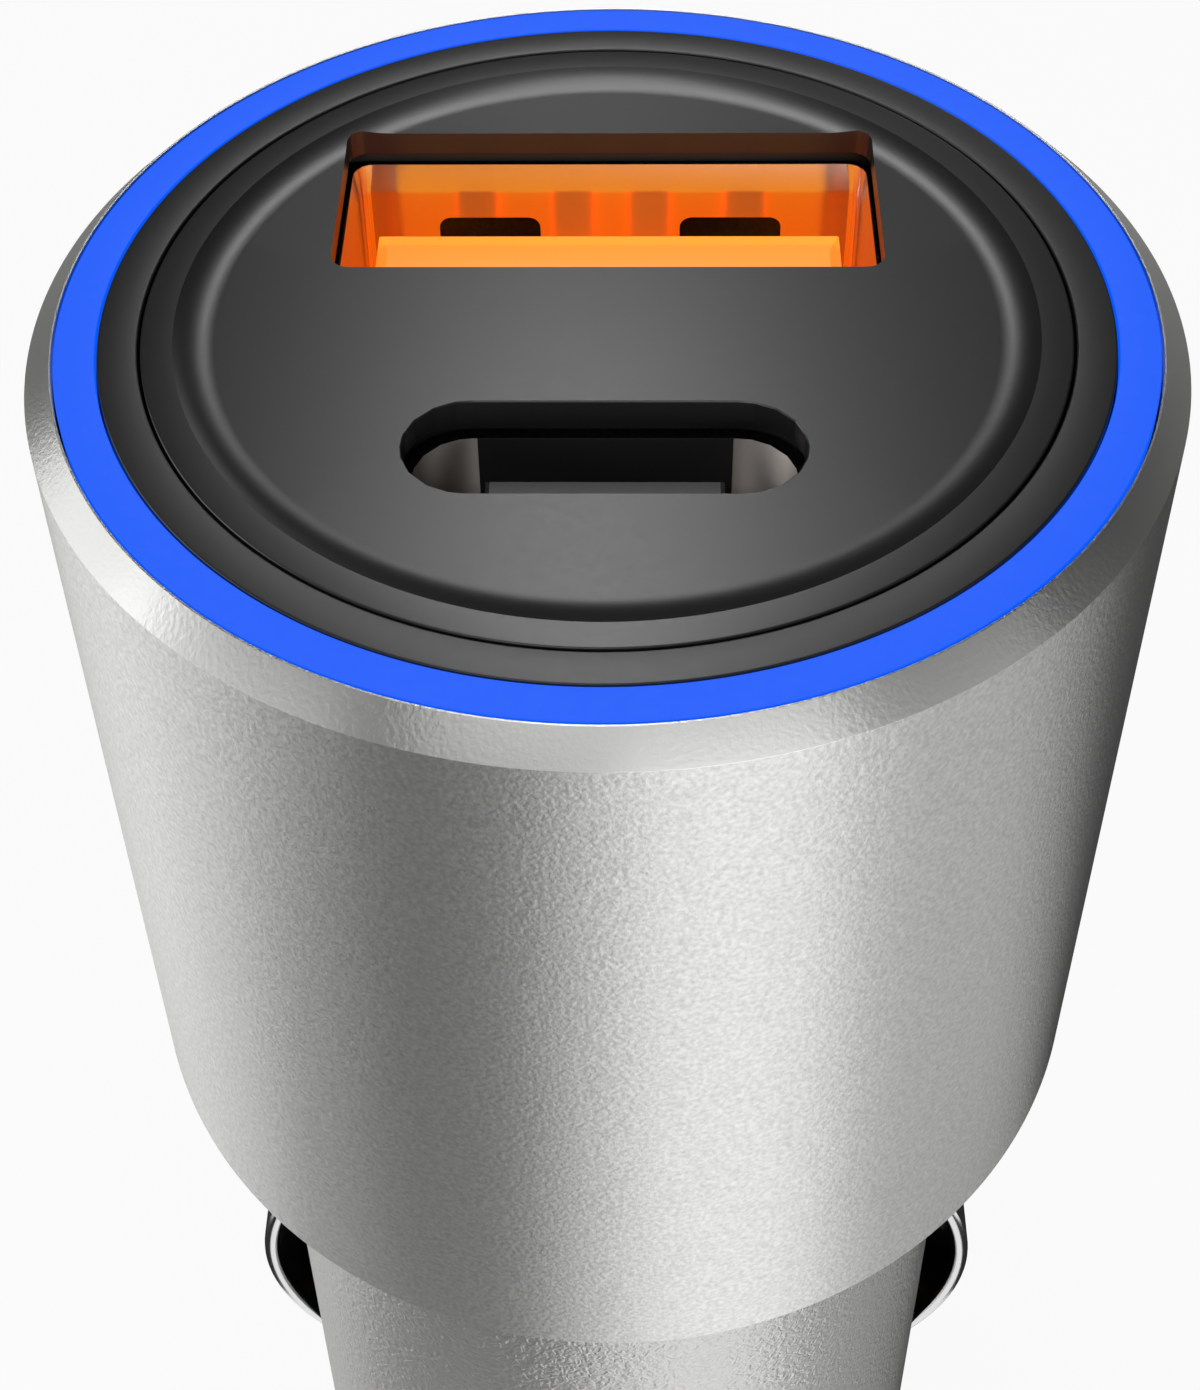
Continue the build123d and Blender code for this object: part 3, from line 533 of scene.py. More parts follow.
def rounded(corners):
    """A closed outline from corners (x, y, radius of the edge), with an arc at each corner."""
    points = []
    for index, (x, y, radius) in enumerate(corners):
        here = Vector((x, y))
        back = (Vector(corners[index - 1][:2]) - here).normalized()
        ahead = (Vector(corners[(index + 1) % len(corners)][:2]) - here).normalized()
        if radius == 0:
            points.append(here)
            continue
        half_angle = back.angle(ahead) / 2
        centre = here + (back + ahead).normalized() * radius / sin(half_angle)
        start = here + back * radius / sin(half_angle) * cos(half_angle) - centre
        end = here + ahead * radius / sin(half_angle) * cos(half_angle) - centre
        for step in range(edge_steps + 1):
            points.append(centre + start.lerp(end, step / edge_steps).normalized() * radius)
    return points


def oblong(width, height, radius, x=0.0, y=0.0):
    """A rectangle with round corners. With a radius of half its height it has round ends."""
    return rounded([(x + sx * width / 2, y + sy * height / 2, radius) for sx, sy in corner_signs])


def rectangle(x0, x1, y0, y1):
    """A rectangle with sharp corners, for a section whose edges are softened later."""
    return [Vector(corner) for corner in ((x0, y0), (x1, y0), (x1, y1), (x0, y1))]


print("points round a button with round ends:", len(oblong(2, 1, 0.5)))


# %% [markdown]
# ## Finished pieces
# A modifier or a tree only shows its result, so each piece is turned to a plain mesh. Its doubles
# are merged and its faces turned outwards, and its normals are weighted so that flat faces stay
# flat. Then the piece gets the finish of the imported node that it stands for, and rides on its body.

# %% Clean and settle a piece
bodies = {node: body for body, nodes in frame["record"]["behaviour"]["bodies"].items() for node in nodes}
slots = {part["node"]: part["material_slot"] for part in frame["record"]["subparts"]}
crease = radians(38)
same_point = 0.0004
sliver = 0.0002


def merge(piece, dissolve=False):
    """Merges doubles and turns the faces outwards. It can dissolve the slivers that a cut leaves too."""
    mesh = bmesh.new()
    mesh.from_mesh(piece.data)
    bmesh.ops.remove_doubles(mesh, verts=mesh.verts, dist=same_point * MM)
    if dissolve:
        bmesh.ops.dissolve_degenerate(mesh, edges=mesh.edges, dist=sliver * MM)
    bmesh.ops.recalc_face_normals(mesh, faces=mesh.faces)
    mesh.to_mesh(piece.data)
    mesh.free()


def make_plain(piece):
    """Turns the result of the modifiers into the piece's own mesh and removes them."""
    graph = bpy.context.evaluated_depsgraph_get()
    result = piece.evaluated_get(graph)
    mesh = bpy.data.meshes.new_from_object(result, preserve_all_data_layers=True, depsgraph=graph)
    piece.modifiers.clear()
    piece.data = mesh


def settle(piece, node, angle=crease):
    """Cleans a finished piece and gives it the finish and the body of the node that it stands for."""
    merge(piece, dissolve=True)
    piece.data.polygons.foreach_set("use_smooth", [True] * len(piece.data.polygons))
    piece.data.set_sharp_from_angle(angle=angle)
    weighted = piece.modifiers.new("flat faces stay flat", "WEIGHTED_NORMAL")
    weighted.keep_sharp = True
    make_plain(piece)
    piece.data.materials.clear()
    piece.data.materials.append(materials[slots[node]])
    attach(piece, bodies[node])
    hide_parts(node)
    piece.data.calc_loop_triangles()
    print(piece.name, len(piece.data.loop_triangles), "triangles")


print("bodies:", ", ".join(sorted(set(bodies.values()))))


# %% [markdown]
# ## Lofts, cuts and soft edges
# A loft joins one outline to the next, level by level. That makes the ports' tubes and tongues, and
# the blocks that cut windows and slots with a Boolean modifier. A Bevel modifier then softens the
# edges of a cut.

# %% Lofts and cuts
overshoot = 1.0
bevel_segments = 3
soft_angle = 50
z_along_x = Matrix(((0, 0, 1, 0), (1, 0, 0, 0), (0, 1, 0, 0), (0, 0, 0, 1)))
z_along_y = Matrix(((1, 0, 0, 0), (0, 0, 1, 0), (0, 1, 0, 0), (0, 0, 0, 1)))


def mesh_object(name, points, faces=(), edges=()):
    mesh = bpy.data.meshes.new(name)
    mesh.from_pydata([Vector(p) * MM for p in points], list(edges), list(faces))
    made = bpy.data.objects.new(name, mesh)
    bpy.context.scene.collection.objects.link(made)
    return made


def loft(name, levels, ring=False):
    """A solid through outlines [(points, z)] with equal counts. A ring closes on its first one."""
    count = len(levels[0][0])
    last = len(levels) - 1
    points = [(p.x, p.y, z) for outline, z in levels for p in outline]
    faces = []
    for low, high in [(level, level + 1) for level in range(last)] + ([(last, 0)] if ring else []):
        for i in range(count):
            ahead = (i + 1) % count
            faces.append((low * count + i, low * count + ahead, high * count + ahead, high * count + i))
    if not ring:
        faces += [tuple(range(count)), tuple(range(last * count, (last + 1) * count))]
    made = mesh_object(name, points, faces)
    merge(made)
    return made


def cut(piece, *tools):
    """Cuts the tools out of a piece and deletes them."""
    for tool in tools:
        boolean = piece.modifiers.new("cut", "BOOLEAN")
        boolean.object = tool
        boolean.operation = "DIFFERENCE"
        boolean.solver = "EXACT"
    make_plain(piece)
    for tool in tools:
        bpy.data.objects.remove(tool)


def soften(piece, width, angle=soft_angle):
    """Rounds every edge that is sharper than the angle."""
    bevel = piece.modifiers.new("soft edges", "BEVEL")
    bevel.width = width * MM
    bevel.segments = bevel_segments
    bevel.limit_method = "ANGLE"
    bevel.angle_limit = radians(angle)
    make_plain(piece)


def laid(piece, way):
    """Turns a solid that was lofted along Z so that it runs along X or Y."""
    piece.data.transform(way)
    merge(piece)
    return piece


def joined(piece, *others):
    """Adds the meshes of other solids to a piece."""
    mesh = bmesh.new()
    for source in (piece, *others):
        mesh.from_mesh(source.data)
    mesh.to_mesh(piece.data)
    mesh.free()
    for other in others:
        bpy.data.objects.remove(other)


print("an edge over", soft_angle, "degrees gets", bevel_segments, "faces when it is softened")


# %% [markdown]
# ## Geometry Nodes trees
# A tree is a recipe with named inputs: the same one makes every turned piece, as a lathe would. It
# sweeps an outline round the axis. Three more trees further down lay out rows, bend strips and wind
# a spring. Each ends in Realize Instances and Set Material, so that it gives a real mesh.

# %% Trees, and the one that turns
def new_tree(name, inputs):
    """A tree with named inputs [(name, socket type)] after its geometry, and its two end nodes."""
    tree = bpy.data.node_groups.new(name, "GeometryNodeTree")
    tree.interface.new_socket("Geometry", in_out="OUTPUT", socket_type="NodeSocketGeometry")
    tree.interface.new_socket("Geometry", in_out="INPUT", socket_type="NodeSocketGeometry")
    for label, kind in inputs:
        tree.interface.new_socket(label, in_out="INPUT", socket_type=kind)
    return tree, tree.nodes.new("NodeGroupInput").outputs, tree.nodes.new("NodeGroupOutput").inputs


def close_tree(tree, geometry, material, end):
    """The last two nodes of every tree: real geometry, with its material."""
    real = add(tree, "GeometryNodeRealizeInstances", {"Geometry": geometry})
    painted = add(tree, "GeometryNodeSetMaterial", {"Geometry": real.outputs[0], "Material": material})
    tree.links.new(painted.outputs[0], end[0])


def grow(piece, tree, values):
    """Runs a tree on a piece and keeps the plain mesh that it makes."""
    modifier = piece.modifiers.new(tree.name, "NODES")
    modifier.node_group = tree
    sockets = {s.name: s.identifier for s in tree.interface.items_tree if s.in_out == "INPUT"}
    for label, value in values.items():
        modifier[sockets[label]] = value
    make_plain(piece)


rim = 1.0
round_steps = 256
turned_tree, given, end = new_tree("turned", [
    ("Steps", "NodeSocketInt"), ("Material", "NodeSocketMaterial"),
])
outline_curve = add(turned_tree, "GeometryNodeMeshToCurve", {"Mesh": given["Geometry"]})
circle = add(turned_tree, "GeometryNodeCurvePrimitiveCircle", {
    "Resolution": given["Steps"], "Radius": rim * MM,
})
swept = add(turned_tree, "GeometryNodeCurveToMesh", {
    "Curve": circle.outputs[0], "Profile Curve": outline_curve.outputs[0],
})
close_tree(turned_tree, swept.outputs[0], given["Material"], end)


def turned(name, corners, node, steps=round_steps):
    """A piece turned round Z from corners (radius, z, radius of the edge)."""
    outline = rounded(corners)
    points = [(p.x - rim, -p.y, 0) for p in outline]
    edges = [(i, (i + 1) % len(points)) for i in range(len(points))]
    piece = mesh_object(name, points, edges=edges)
    grow(piece, turned_tree, {"Steps": steps, "Material": materials[slots[node]]})
    merge(piece)
    return piece


print("nodes in the tree that turns:", len(turned_tree.nodes))


# %% [markdown]
# ## Head
# The head is one turned cup. Its outer edge is bevelled, and a narrow land beside the bevel holds
# the light ring. Inside is the ledge for the lamp board, and the floor has a recess for the barrel.

# %% Turn the head
slip = 0.05
head_wall = 1.3
neck_step = 0.3
barrel_recess = 0.8
head_edge = 0.06
fine_edge = 0.012
under_edge = 0.04
bevel_edge = 0.03
ledge = box_mm("led_board")[0].z
ring_low, ring_high = box_mm("light_ring")
ring_seat = ring_high.x + slip
bore = head_radius - head_wall
neck = barrel_radius - neck_step
head = turned("head", [
    (barrel_radius + slip, head_low.z, under_edge),
    (head_radius, head_low.z, head_edge),
    (head_radius, top - bevel_width, bevel_edge),
    (head_radius - bevel_width, top, fine_edge),
    (ring_seat, top, fine_edge),
    (ring_seat, ledge, 0),
    (bore, ledge, 0),
    (bore, barrel_high.z, 0),
    (neck + slip, barrel_high.z, 0),
    (neck + slip, barrel_recess, 0),
    (barrel_radius + slip, barrel_recess, 0),
], "head_shell")
settle(head, "head_shell")


# %% [markdown]
# ## Barrel
# The sleeve is turned too, with a neck in the head's floor. A slot with round corners lets each side
# contact through. The slots are cut with a lofted block, and then every edge of the cut is softened
# a little by a Bevel modifier, as tumbling does to the real sleeve.

# %% Turn the barrel and cut its slots
barrel_wall = 0.9
end_chamfer = 0.2
chamfer_edge = 0.05
slot_side_play = 0.35
slot_end_play = 0.9
slot_corner = 0.8
cut_edge = 0.07
contact_low, contact_high = box_mm("side_contact_right")
contact_middle = (contact_low.z + contact_high.z) / 2
contact_width = contact_high.y - contact_low.y
bow_radius = 8.1
bow_centre = contact_high.x - bow_radius
barrel_bore = barrel_radius - barrel_wall
slot_half = sqrt(bow_radius**2 - (barrel_bore - bow_centre)**2) + slot_end_play
barrel = turned("barrel", [
    (barrel_bore, barrel_low.z, 0),
    (barrel_radius - end_chamfer, barrel_low.z, chamfer_edge),
    (barrel_radius, barrel_low.z + end_chamfer, chamfer_edge),
    (barrel_radius, barrel_recess, 0),
    (neck, barrel_recess, 0),
    (neck, barrel_high.z, 0),
    (barrel_bore, barrel_high.z, 0),
], "barrel_sleeve")
slot_width = contact_width + 2 * slot_side_play
slot_outline = oblong(slot_width, 2 * slot_half, slot_corner, 0, contact_middle)
slot_block = loft("slot", [(slot_outline, -barrel_radius * 2), (slot_outline, barrel_radius * 2)])
cut(barrel, laid(slot_block, z_along_x))
soften(barrel, cut_edge)
settle(barrel, "barrel_sleeve")


# %% [markdown]
# ## Light ring and bezel
# The blue ring is an acrylic light guide that lamps light from below. It lies flush with the rim.
# The black bezel ring sits on its flange. Thin gaps between the rings show as dark lines.

# %% Turn both rings
led_low, led_high = box_mm("led_1")
bezel_low, bezel_high = box_mm("bezel_ring")
face_low, face_high = box_mm("face_plate")
ring_seam = 0.04
face_seam = 0.06
flange_width = 0.8
groove_play = 0.15
guide_edge = 0.03
ring_edge = 0.05
ring_inner = bezel_high.x + ring_seam
groove_roof = led_high.z + groove_play
light_ring = turned("light_guide", [
    (ring_inner - flange_width, ring_low.z, 0),
    (led_low.x - groove_play, ring_low.z, 0),
    (led_low.x - groove_play, groove_roof, 0),
    (led_high.x + groove_play, groove_roof, 0),
    (led_high.x + groove_play, ring_low.z, 0),
    (ring_high.x, ring_low.z, 0),
    (ring_high.x, ring_high.z, guide_edge),
    (ring_inner, ring_high.z, guide_edge),
    (ring_inner, bezel_low.z, 0),
    (ring_inner - flange_width, bezel_low.z, 0),
], "light_ring")
settle(light_ring, "light_ring")

bezel = turned("bezel", [
    (face_high.x + face_seam, bezel_low.z, 0),
    (bezel_high.x, bezel_low.z, 0),
    (bezel_high.x, bezel_high.z, ring_edge),
    (face_high.x + face_seam, bezel_high.z, ring_edge),
], "bezel_ring")
settle(bezel, "bezel_ring")


# %% [markdown]
# ## Face plate
# The plate has a shallow recess whose edge is a long cove, and that cove catches a line of light all
# the way round. The cove is an arc worked out from its radius and the recess's depth. The two port
# cut-outs are made with lofted blocks. They are wider low in the plate, which leaves the dark line
# that the eye sees over the steel, and the USB-C block widens at the top, which gives a chamfer.

# %% Turn the plate and cut its ports
face_border = 0.71
recess_depth = 0.22
cove_radius = 1.9
cove_steps = 14
cutout_corner = 0.45
port_margin = 0.16
receptacle_wall = 0.3
cutout_chamfer = 0.03
undercut = 0.3
undercut_rise = 0.14
plate_crease = radians(15)
recess_radius = face_high.x - face_border
cove_width = sqrt(cove_radius**2 - (cove_radius - recess_depth)**2)
cove = []
for step in range(cove_steps + 1):
    across = cove_width * step / cove_steps
    drop = recess_depth - cove_radius + sqrt(cove_radius**2 - (cove_width - across)**2)
    cove.append((recess_radius - across, top - drop, 0))
plate_floor = top - recess_depth
plate = turned("plate", [
    (0, plate_floor, 0),
    (0, face_low.z, 0),
    (face_high.x, face_low.z, 0),
    (face_high.x, top, ring_edge),
    *cove,
], "face_plate")

shell_a_low, shell_a_high = box_mm("usb_a_shell")
shell_c_low, shell_c_high = box_mm("usb_c_shell")
port_a_y = (shell_a_low.y + shell_a_high.y) / 2
port_c_y = (shell_c_low.y + shell_c_high.y) / 2
grow_out = 2 * (port_margin - receptacle_wall)
port_a = (shell_a_high.x * 2 + grow_out, shell_a_high.y - shell_a_low.y + grow_out)
port_c = (shell_c_high.x * 2 + grow_out, shell_c_high.y - shell_c_low.y + grow_out)


def cutter(name, size, corner, y, flared_top):
    """A block for a cut-out. It is wider low in the plate, which leaves a dark gap above the shell."""
    shoulder = face_low.z + undercut_rise
    heights = [(face_low.z - overshoot, undercut), (shoulder, undercut), (shoulder, 0)]
    if flared_top:
        heights += [
            (plate_floor - cutout_chamfer, 0), (plate_floor + overshoot, overshoot + cutout_chamfer),
        ]
    else:
        heights += [(top + overshoot, 0)]
    levels = []
    for z, extra in heights:
        levels.append((oblong(size[0] + 2 * extra, size[1] + 2 * extra, corner + extra, 0, y), z))
    return loft(name, levels)


# the near edge of the USB-A cut-out is level with the inside of the steel
seen_port_a = (port_a[0], port_a[1] - port_margin)
cut(
    plate,
    cutter("cutter_a", seen_port_a, cutout_corner, port_a_y + port_margin / 2, flared_top=False),
    cutter("cutter_c", port_c, port_c[1] / 2, port_c_y, flared_top=True),
)
settle(plate, "face_plate", plate_crease)


# %% [markdown]
# ## USB-A shell
# The shell is a folded steel tube. Its mouth is flared so that a plug finds its way in, and each
# broad wall has two windows with a spring finger that leans inwards. One block cuts a window in
# both walls at once.

# %% Loft the shell and its spring fingers
usb_a_corner = 0.3
flare = 0.18
flare_height = 0.7
# the flare runs out softly: little of it is left at the first share of its height, none at the next
flare_left = 0.04
flare_foot = (0.95, 1.1)
window_size = (2.55, 4.0)
window_spread = 6.07
window_drop = 1.5
finger_width = 1.7
finger_length = 3.2
finger_lean = 0.3
outer_a = (shell_a_high.x * 2, shell_a_high.y - shell_a_low.y)
inner_a = (outer_a[0] - 2 * receptacle_wall, outer_a[1] - 2 * receptacle_wall)
mouth = shell_a_high.z
outer_corner = usb_a_corner + receptacle_wall


def around_a(size, corner, extra=0.0):
    return oblong(size[0] + extra, size[1] + 2 * extra, corner + extra, 0, port_a_y)


usb_a_shell = loft("usb_a_tube", [
    (around_a(outer_a, outer_corner), shell_a_low.z),
    (around_a(outer_a, outer_corner), mouth),
    (around_a(inner_a, usb_a_corner, flare), mouth),
    (around_a(inner_a, usb_a_corner, flare * flare_left), mouth - flare_height * flare_foot[0]),
    (around_a(inner_a, usb_a_corner), mouth - flare_height * flare_foot[1]),
    (around_a(inner_a, usb_a_corner), shell_a_low.z),
], ring=True)
window_middle = mouth - window_drop - window_size[1] / 2
window_low = window_middle - window_size[1] / 2
fingers = []
for side in (-1, 1):
    x = side * window_spread / 2
    window = oblong(window_size[0], window_size[1], usb_a_corner, x, window_middle)
    block = loft("window", [(window, port_a_y - outer_a[1]), (window, port_a_y + outer_a[1])])
    cut(usb_a_shell, laid(block, z_along_y))
    for wall in (-1, 1):
        inner = port_a_y + wall * inner_a[1] / 2
        outer = inner + wall * receptacle_wall
        outline = rectangle(inner, outer, window_low, window_low + finger_length)
        for corner in outline[2:]:
            corner.x -= wall * finger_lean
        ends = [(outline, x - finger_width / 2), (outline, x + finger_width / 2)]
        fingers.append(laid(loft("finger", ends), z_along_x))
joined(usb_a_shell, *fingers)
settle(usb_a_shell, "usb_a_shell")


# %% [markdown]
# ## USB-A tongue
# The orange tongue stands off centre in the shell, on a base that fills it. Its end is bevelled on
# every side, most on the side where its contacts lie. Four grooves hold the contact strips.

# %% Loft the tongue and groove it
tongue_width = 11.1
tongue_thickness = 1.84
tongue_offset = -0.77
tongue_bevel_drop = 0.25
tongue_side_bevel = 0.28
tongue_near_bevel = 0.1
moulded_edge = 0.03
moulded_angle = 20
base_height = 3.6
base_low, base_high = box_mm("usb_a_insulator")
tongue_y = port_a_y + tongue_offset
contact_spots = (-3.5, -1.0, 1.0, 3.5)
strip_width = 1.0
strip_thickness = 0.3
groove_depth = strip_thickness * 2 / 3 + slip
groove_drop = 1.4
tongue_near = tongue_y - tongue_thickness / 2
tongue_far = tongue_y + tongue_thickness / 2
half_tongue = tongue_width / 2
base_outline = oblong(base_high.x * 2, base_high.y - base_low.y, usb_a_corner, 0, port_a_y)
tongue = loft("usb_a_tongue", [
    (rectangle(-half_tongue, half_tongue, tongue_near, tongue_far), base_low.z + base_height),
    (rectangle(-half_tongue, half_tongue, tongue_near, tongue_far), mouth - tongue_bevel_drop),
    (rectangle(
        -half_tongue + tongue_side_bevel, half_tongue - tongue_side_bevel,
        tongue_near + tongue_near_bevel, tongue_far - tongue_bevel,
    ), mouth),
])
half_groove = strip_width / 2 + slip
grooves = []
for x in contact_spots:
    groove = rectangle(x - half_groove, x + half_groove, tongue_far - groove_depth, tongue_far + overshoot)
    grooves.append(loft("groove", [(groove, base_low.z - overshoot), (groove, mouth - groove_drop)]))
cut(tongue, *grooves)
base = loft("base", [(base_outline, base_low.z), (base_outline, base_low.z + base_height)])
joined(tongue, base)
soften(tongue, moulded_edge, moulded_angle)
settle(tongue, "usb_a_insulator")


# %% [markdown]
# ## USB-C port
# The USB-C shell is drawn in one piece, so its ends are full half circles. The tongue is thin and
# steps in at its tip. A thin black lining on the long walls of this port is painted shade: it hides
# the shine of the steel there, where those walls lie in shadow.

# %% Loft the shell and its tongue
outer_c = (shell_c_high.x * 2, shell_c_high.y - shell_c_low.y)
inner_c = (outer_c[0] - 2 * receptacle_wall, outer_c[1] - 2 * receptacle_wall)


def around_c(size, extra=0.0):
    return oblong(size[0] + 2 * extra, size[1] + 2 * extra, size[1] / 2 + extra, 0, port_c_y)


usb_c_shell = loft("usb_c_tube", [
    (around_c(outer_c), shell_c_low.z),
    (around_c(outer_c), mouth),
    (around_c(inner_c), mouth),
    (around_c(inner_c), shell_c_low.z),
], ring=True)
settle(usb_c_shell, "usb_c_shell")

c_tongue_width = 6.69
c_tip_width = 5.2
c_tip_height = 0.55
c_thickness = 0.7
c_base_height = 5.4
c_edge = 0.1
liner = 0.03
liner_width = 5.6
c_low, c_high = box_mm("usb_c_insulator")
c_base_top = c_low.z + c_base_height


def c_section(width, inset=0.0):
    half_wide, half_thick = width / 2 - inset, c_thickness / 2 - inset
    return rectangle(-half_wide, half_wide, port_c_y - half_thick, port_c_y + half_thick)


c_tongue = loft("usb_c_tongue", [
    (c_section(c_tongue_width), c_base_top),
    (c_section(c_tongue_width), c_high.z - c_tip_height - c_edge),
    (c_section(c_tongue_width, c_edge), c_high.z - c_tip_height),
    (c_section(c_tip_width), c_high.z - c_tip_height),
    (c_section(c_tip_width), c_high.z - c_edge),
    (c_section(c_tip_width, c_edge), c_high.z),
])
c_base = around_c(inner_c, -slip)
half_liner = liner_width / 2
# thin black sheets on the long walls stand for the shade there: painted shade
painted_shade_linings = []
for side in (-1, 1):
    wall = port_c_y + side * inner_c[1] / 2
    low, high = sorted((wall, wall - side * liner))
    section = rectangle(-half_liner, half_liner, low, high)
    painted_shade_linings.append(loft("liner", [(section, c_low.z), (section, mouth)]))
joined(c_tongue, loft("base", [(c_base, c_low.z), (c_base, c_base_top)]), *painted_shade_linings)
settle(c_tongue, "usb_c_insulator")


# %% [markdown]
# ## Rows of contacts
# Twelve gold strips lie on each face of the USB-C tongue. They repeat at a fixed pitch, so a
# Geometry Nodes tree lays one strip out along a line of points.

# %% Lay out the rows
row_tree, given, end = new_tree("row_of_strips", [
    ("Count", "NodeSocketInt"), ("Pitch", "NodeSocketVector"), ("Size", "NodeSocketVector"),
    ("Material", "NodeSocketMaterial"),
])
spots = add(row_tree, "GeometryNodeMeshLine", {"Count": given["Count"], "Offset": given["Pitch"]})
strip = add(row_tree, "GeometryNodeMeshCube", {"Size": given["Size"]})
strips = add(row_tree, "GeometryNodeInstanceOnPoints", {
    "Points": spots.outputs[0], "Instance": strip.outputs[0],
})
close_tree(row_tree, strips.outputs[0], given["Material"], end)

c_count = 12
c_pitch = 0.5
for node in ("usb_c_contacts_front", "usb_c_contacts_back"):
    low, high = box_mm(node)
    strip_size = Vector((high.x - low.x - c_pitch * (c_count - 1), high.y - low.y, high.z - low.z))
    row = mesh_object(node + "_row", [])
    grow(row, row_tree, {
        "Count": c_count, "Pitch": Vector((c_pitch * MM, 0, 0)), "Size": strip_size * MM,
        "Material": materials["contact_plating"],
    })
    first_strip = Vector((low.x + strip_size.x / 2, (low.y + high.y) / 2, (low.z + high.z) / 2))
    row.data.transform(Matrix.Translation(first_strip * MM))
    settle(row, node)


# %% [markdown]
# ## Side contacts
# Each side contact is a strip of spring bronze, bent to a bow with a small root at each end and
# chromed. Its line is made of true arcs, worked out from the bow's radius and the root's radius. A
# Geometry Nodes tree then sweeps a rectangle with round edges along that line.

# %% Bend the strips
contact_thickness = 0.5
strip_edge = 0.22
root_radius = 1.0
arc_step = radians(3)
leg = sqrt(barrel_bore**2 - (contact_width / 2)**2) - slip
root_x = leg + root_radius
root_rise = sqrt((bow_radius + root_radius)**2 - (root_x - bow_centre)**2)
half_bow = atan2(root_rise, root_x - bow_centre)
leg_end = (contact_high.z - contact_low.z) / 2
mid = contact_thickness / 2


def arc(centre_x, centre_y, radius, start, finish):
    """Points along an arc. A small radius gets more of them for its angle."""
    count = max(2, round(abs(finish - start) / arc_step * max(1, 1 / radius)))
    angles = [start + (finish - start) * i / count for i in range(count + 1)]
    return [(centre_x + radius * cos(a), centre_y + radius * sin(a)) for a in angles]


upper = arc(root_x, root_rise, root_radius + mid, pi, pi + half_bow)
bow = arc(bow_centre, 0, bow_radius - mid, half_bow, -half_bow)
lower = [(x, -y) for x, y in reversed(upper)]
line = [(leg - mid, leg_end), *upper, *bow[1:-1], *lower, (leg - mid, -leg_end)]

strip_tree, given, end = new_tree("bent_strip", [
    ("Thickness", "NodeSocketFloat"), ("Width", "NodeSocketFloat"), ("Edge", "NodeSocketFloat"),
    ("Material", "NodeSocketMaterial"),
])
path = add(strip_tree, "GeometryNodeMeshToCurve", {"Mesh": given["Geometry"]})
flat_path = add(strip_tree, "GeometryNodeSetCurveNormal", {"Curve": path.outputs[0]}, mode="Z_UP")
section = add(strip_tree, "GeometryNodeCurvePrimitiveQuadrilateral", {
    "Width": given["Thickness"], "Height": given["Width"],
})
round_section = add(strip_tree, "GeometryNodeFilletCurve", {
    "Curve": section.outputs[0], "Count": edge_steps, "Radius": given["Edge"],
}, mode="POLY")
strip_mesh = add(strip_tree, "GeometryNodeCurveToMesh", {
    "Curve": flat_path.outputs[0], "Profile Curve": round_section.outputs[0], "Fill Caps": True,
})
stand_up = add(strip_tree, "GeometryNodeTransform", {
    "Geometry": strip_mesh.outputs[0], "Rotation": (radians(90), 0, 0),
})
close_tree(strip_tree, stand_up.outputs[0], given["Material"], end)

for side, node in ((1, "side_contact_right"), (-1, "side_contact_left")):
    points = [(side * x, y, 0) for x, y in line]
    contact = mesh_object(node + "_strip", points, edges=[(i, i + 1) for i in range(len(points) - 1)])
    grow(contact, strip_tree, {
        "Thickness": contact_thickness * MM, "Width": contact_width * MM, "Edge": strip_edge * MM,
        "Material": materials["contact_chrome"],
    })
    contact.data.transform(Matrix.Translation((0, 0, contact_middle * MM)))
    settle(contact, node)


# %% [markdown]
# ## Nose
# The nose is a moulded cap that closes the barrel. A groove parts it from the barrel, its guide runs
# in the socket, and a long round taper leads it in. The taper is one arc, worked out from how far it
# reaches in and down.

# %% Turn the nose
nose_low, nose_high = box_mm("nose_cap")
washer_low = box_mm("ground_ring")[0]
tip_low, tip_high = box_mm("tip_contact")
terminal_low, terminal_high = box_mm("positive_terminal")
nose_groove = 9.9
groove_width = 0.5
guide_length = 6.0
front_radius = 6.8
front_wall = 1.6
inner_body_wall = 1.45
tip_radius = 3.0
tip_play = 0.15
hole_edge = 0.1
turned_edge = 0.12
taper_steps = 24
spigot = barrel_bore - inner_body_wall - 2 * slip
guide_low = washer_low.z - groove_width - guide_length
taper = guide_low - nose_low.z
reach_in = nose_high.x - front_radius
taper_radius = (reach_in**2 + taper**2) / (2 * reach_in)
taper_end = asin(taper / taper_radius)
taper_arc = []
for step in range(1, taper_steps + 1):
    angle = taper_end * step / taper_steps
    across = nose_high.x - taper_radius * (1 - cos(angle))
    taper_arc.append((across, guide_low - taper_radius * sin(angle), 0))
spring_bore = tip_high.x + tip_play
nose = turned("nose", [
    (tip_radius + tip_play, nose_low.z, hole_edge),
    (tip_radius + tip_play, nose_low.z + front_wall, 0),
    (spring_bore, nose_low.z + front_wall, 0),
    (spring_bore, terminal_low.z, 0),
    (terminal_high.y + slip, terminal_low.z, 0),
    (terminal_high.y + slip, nose_high.z, 0),
    (spigot, nose_high.z, 0),
    (spigot, washer_low.z, 0),
    (nose_groove, washer_low.z, 0),
    (nose_groove, washer_low.z - groove_width, 0),
    (nose_high.x, washer_low.z - groove_width, turned_edge),
    (nose_high.x, guide_low, 0),
    *taper_arc,
], "nose_cap")
settle(nose, "nose_cap")


# %% [markdown]
# ## Tip contact
# The tip is a turned pin with a domed end, chromed so that it slides well in the socket. A flange
# inside the nose holds it, and the spring presses on that flange.

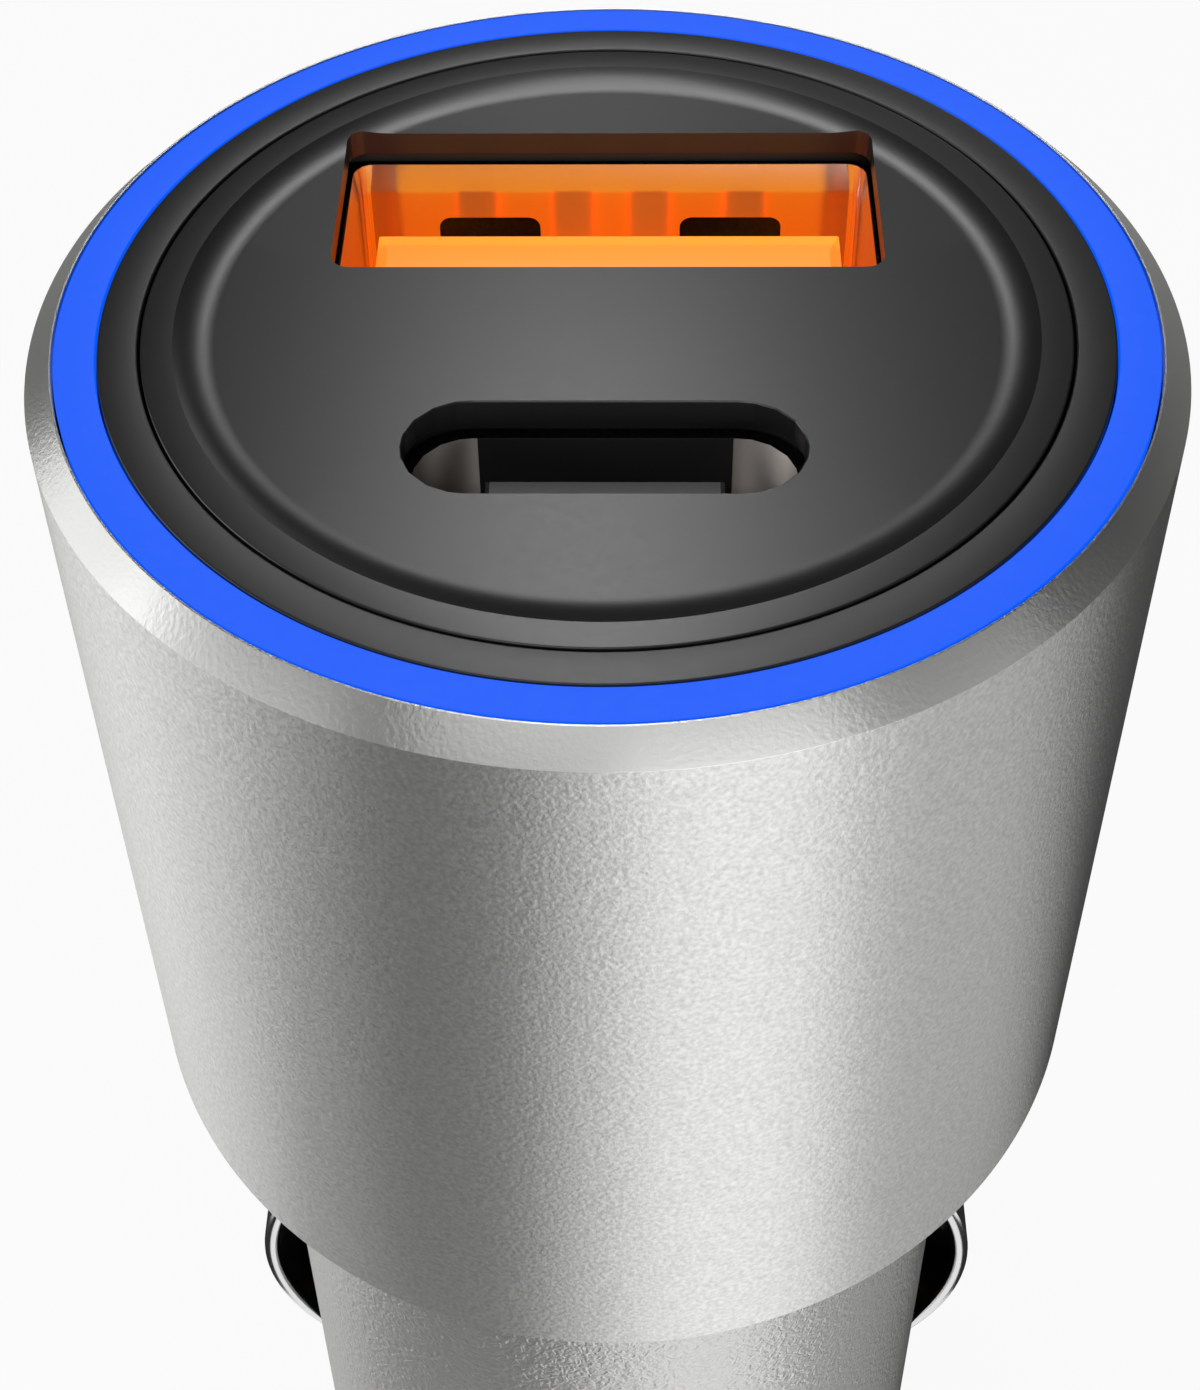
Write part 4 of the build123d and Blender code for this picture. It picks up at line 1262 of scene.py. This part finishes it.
# %% Turn the tip
tip_flange = 1.2
tip_dome = 1.0
tip_steps = 128
dome_steps = 16
dome_radius = (tip_radius**2 + tip_dome**2) / (2 * tip_dome)
dome = []
for step in range(dome_steps + 1):
    r = tip_radius * step / dome_steps
    dome.append((r, tip_low.z + dome_radius - sqrt(dome_radius**2 - r**2), 0))
tip = turned("tip", [
    *dome[:-1],
    (tip_radius, dome[-1][1], turned_edge),
    (tip_radius, tip_high.z - tip_flange, 0),
    (tip_high.x, tip_high.z - tip_flange, 0),
    (tip_high.x, tip_high.z, 0),
    (0, tip_high.z, 0),
], "tip_contact", tip_steps)
settle(tip, "tip_contact")


# %% [markdown]
# ## Tip spring
# A coil of steel wire presses the tip contact outwards. It is a spiral at a steady pitch, so a
# Geometry Nodes tree draws the line and sweeps a round wire along it.

# %% Wind the spring
spring_wire = 0.55
spring_turns = 5.0
spiral_steps = 48
wire_sides = 12
spring_low, spring_high = box_mm("tip_spring")
coil_radius = (spring_high.x - spring_low.x - spring_wire) / 2
coil_height = spring_high.z - spring_low.z - spring_wire
spring_tree, given, end = new_tree("wound_spring", [
    ("Turns", "NodeSocketFloat"), ("Radius", "NodeSocketFloat"), ("Height", "NodeSocketFloat"),
    ("Wire", "NodeSocketFloat"), ("Material", "NodeSocketMaterial"),
])
spiral = add(spring_tree, "GeometryNodeCurveSpiral", {
    "Resolution": spiral_steps, "Rotations": given["Turns"], "Start Radius": given["Radius"],
    "End Radius": given["Radius"], "Height": given["Height"],
})
wire_round = add(spring_tree, "GeometryNodeCurvePrimitiveCircle", {
    "Resolution": wire_sides, "Radius": given["Wire"],
})
wound = add(spring_tree, "GeometryNodeCurveToMesh", {
    "Curve": spiral.outputs[0], "Profile Curve": wire_round.outputs[0], "Fill Caps": True,
})
close_tree(spring_tree, wound.outputs[0], given["Material"], end)
spring = mesh_object("spring", [])
grow(spring, spring_tree, {
    "Turns": spring_turns, "Radius": coil_radius * MM, "Height": coil_height * MM,
    "Wire": spring_wire / 2 * MM, "Material": materials["spring_steel"],
})
spring.data.transform(Matrix.Translation((0, 0, (spring_low.z + spring_wire / 2) * MM)))
settle(spring, "tip_spring")
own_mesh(spring)
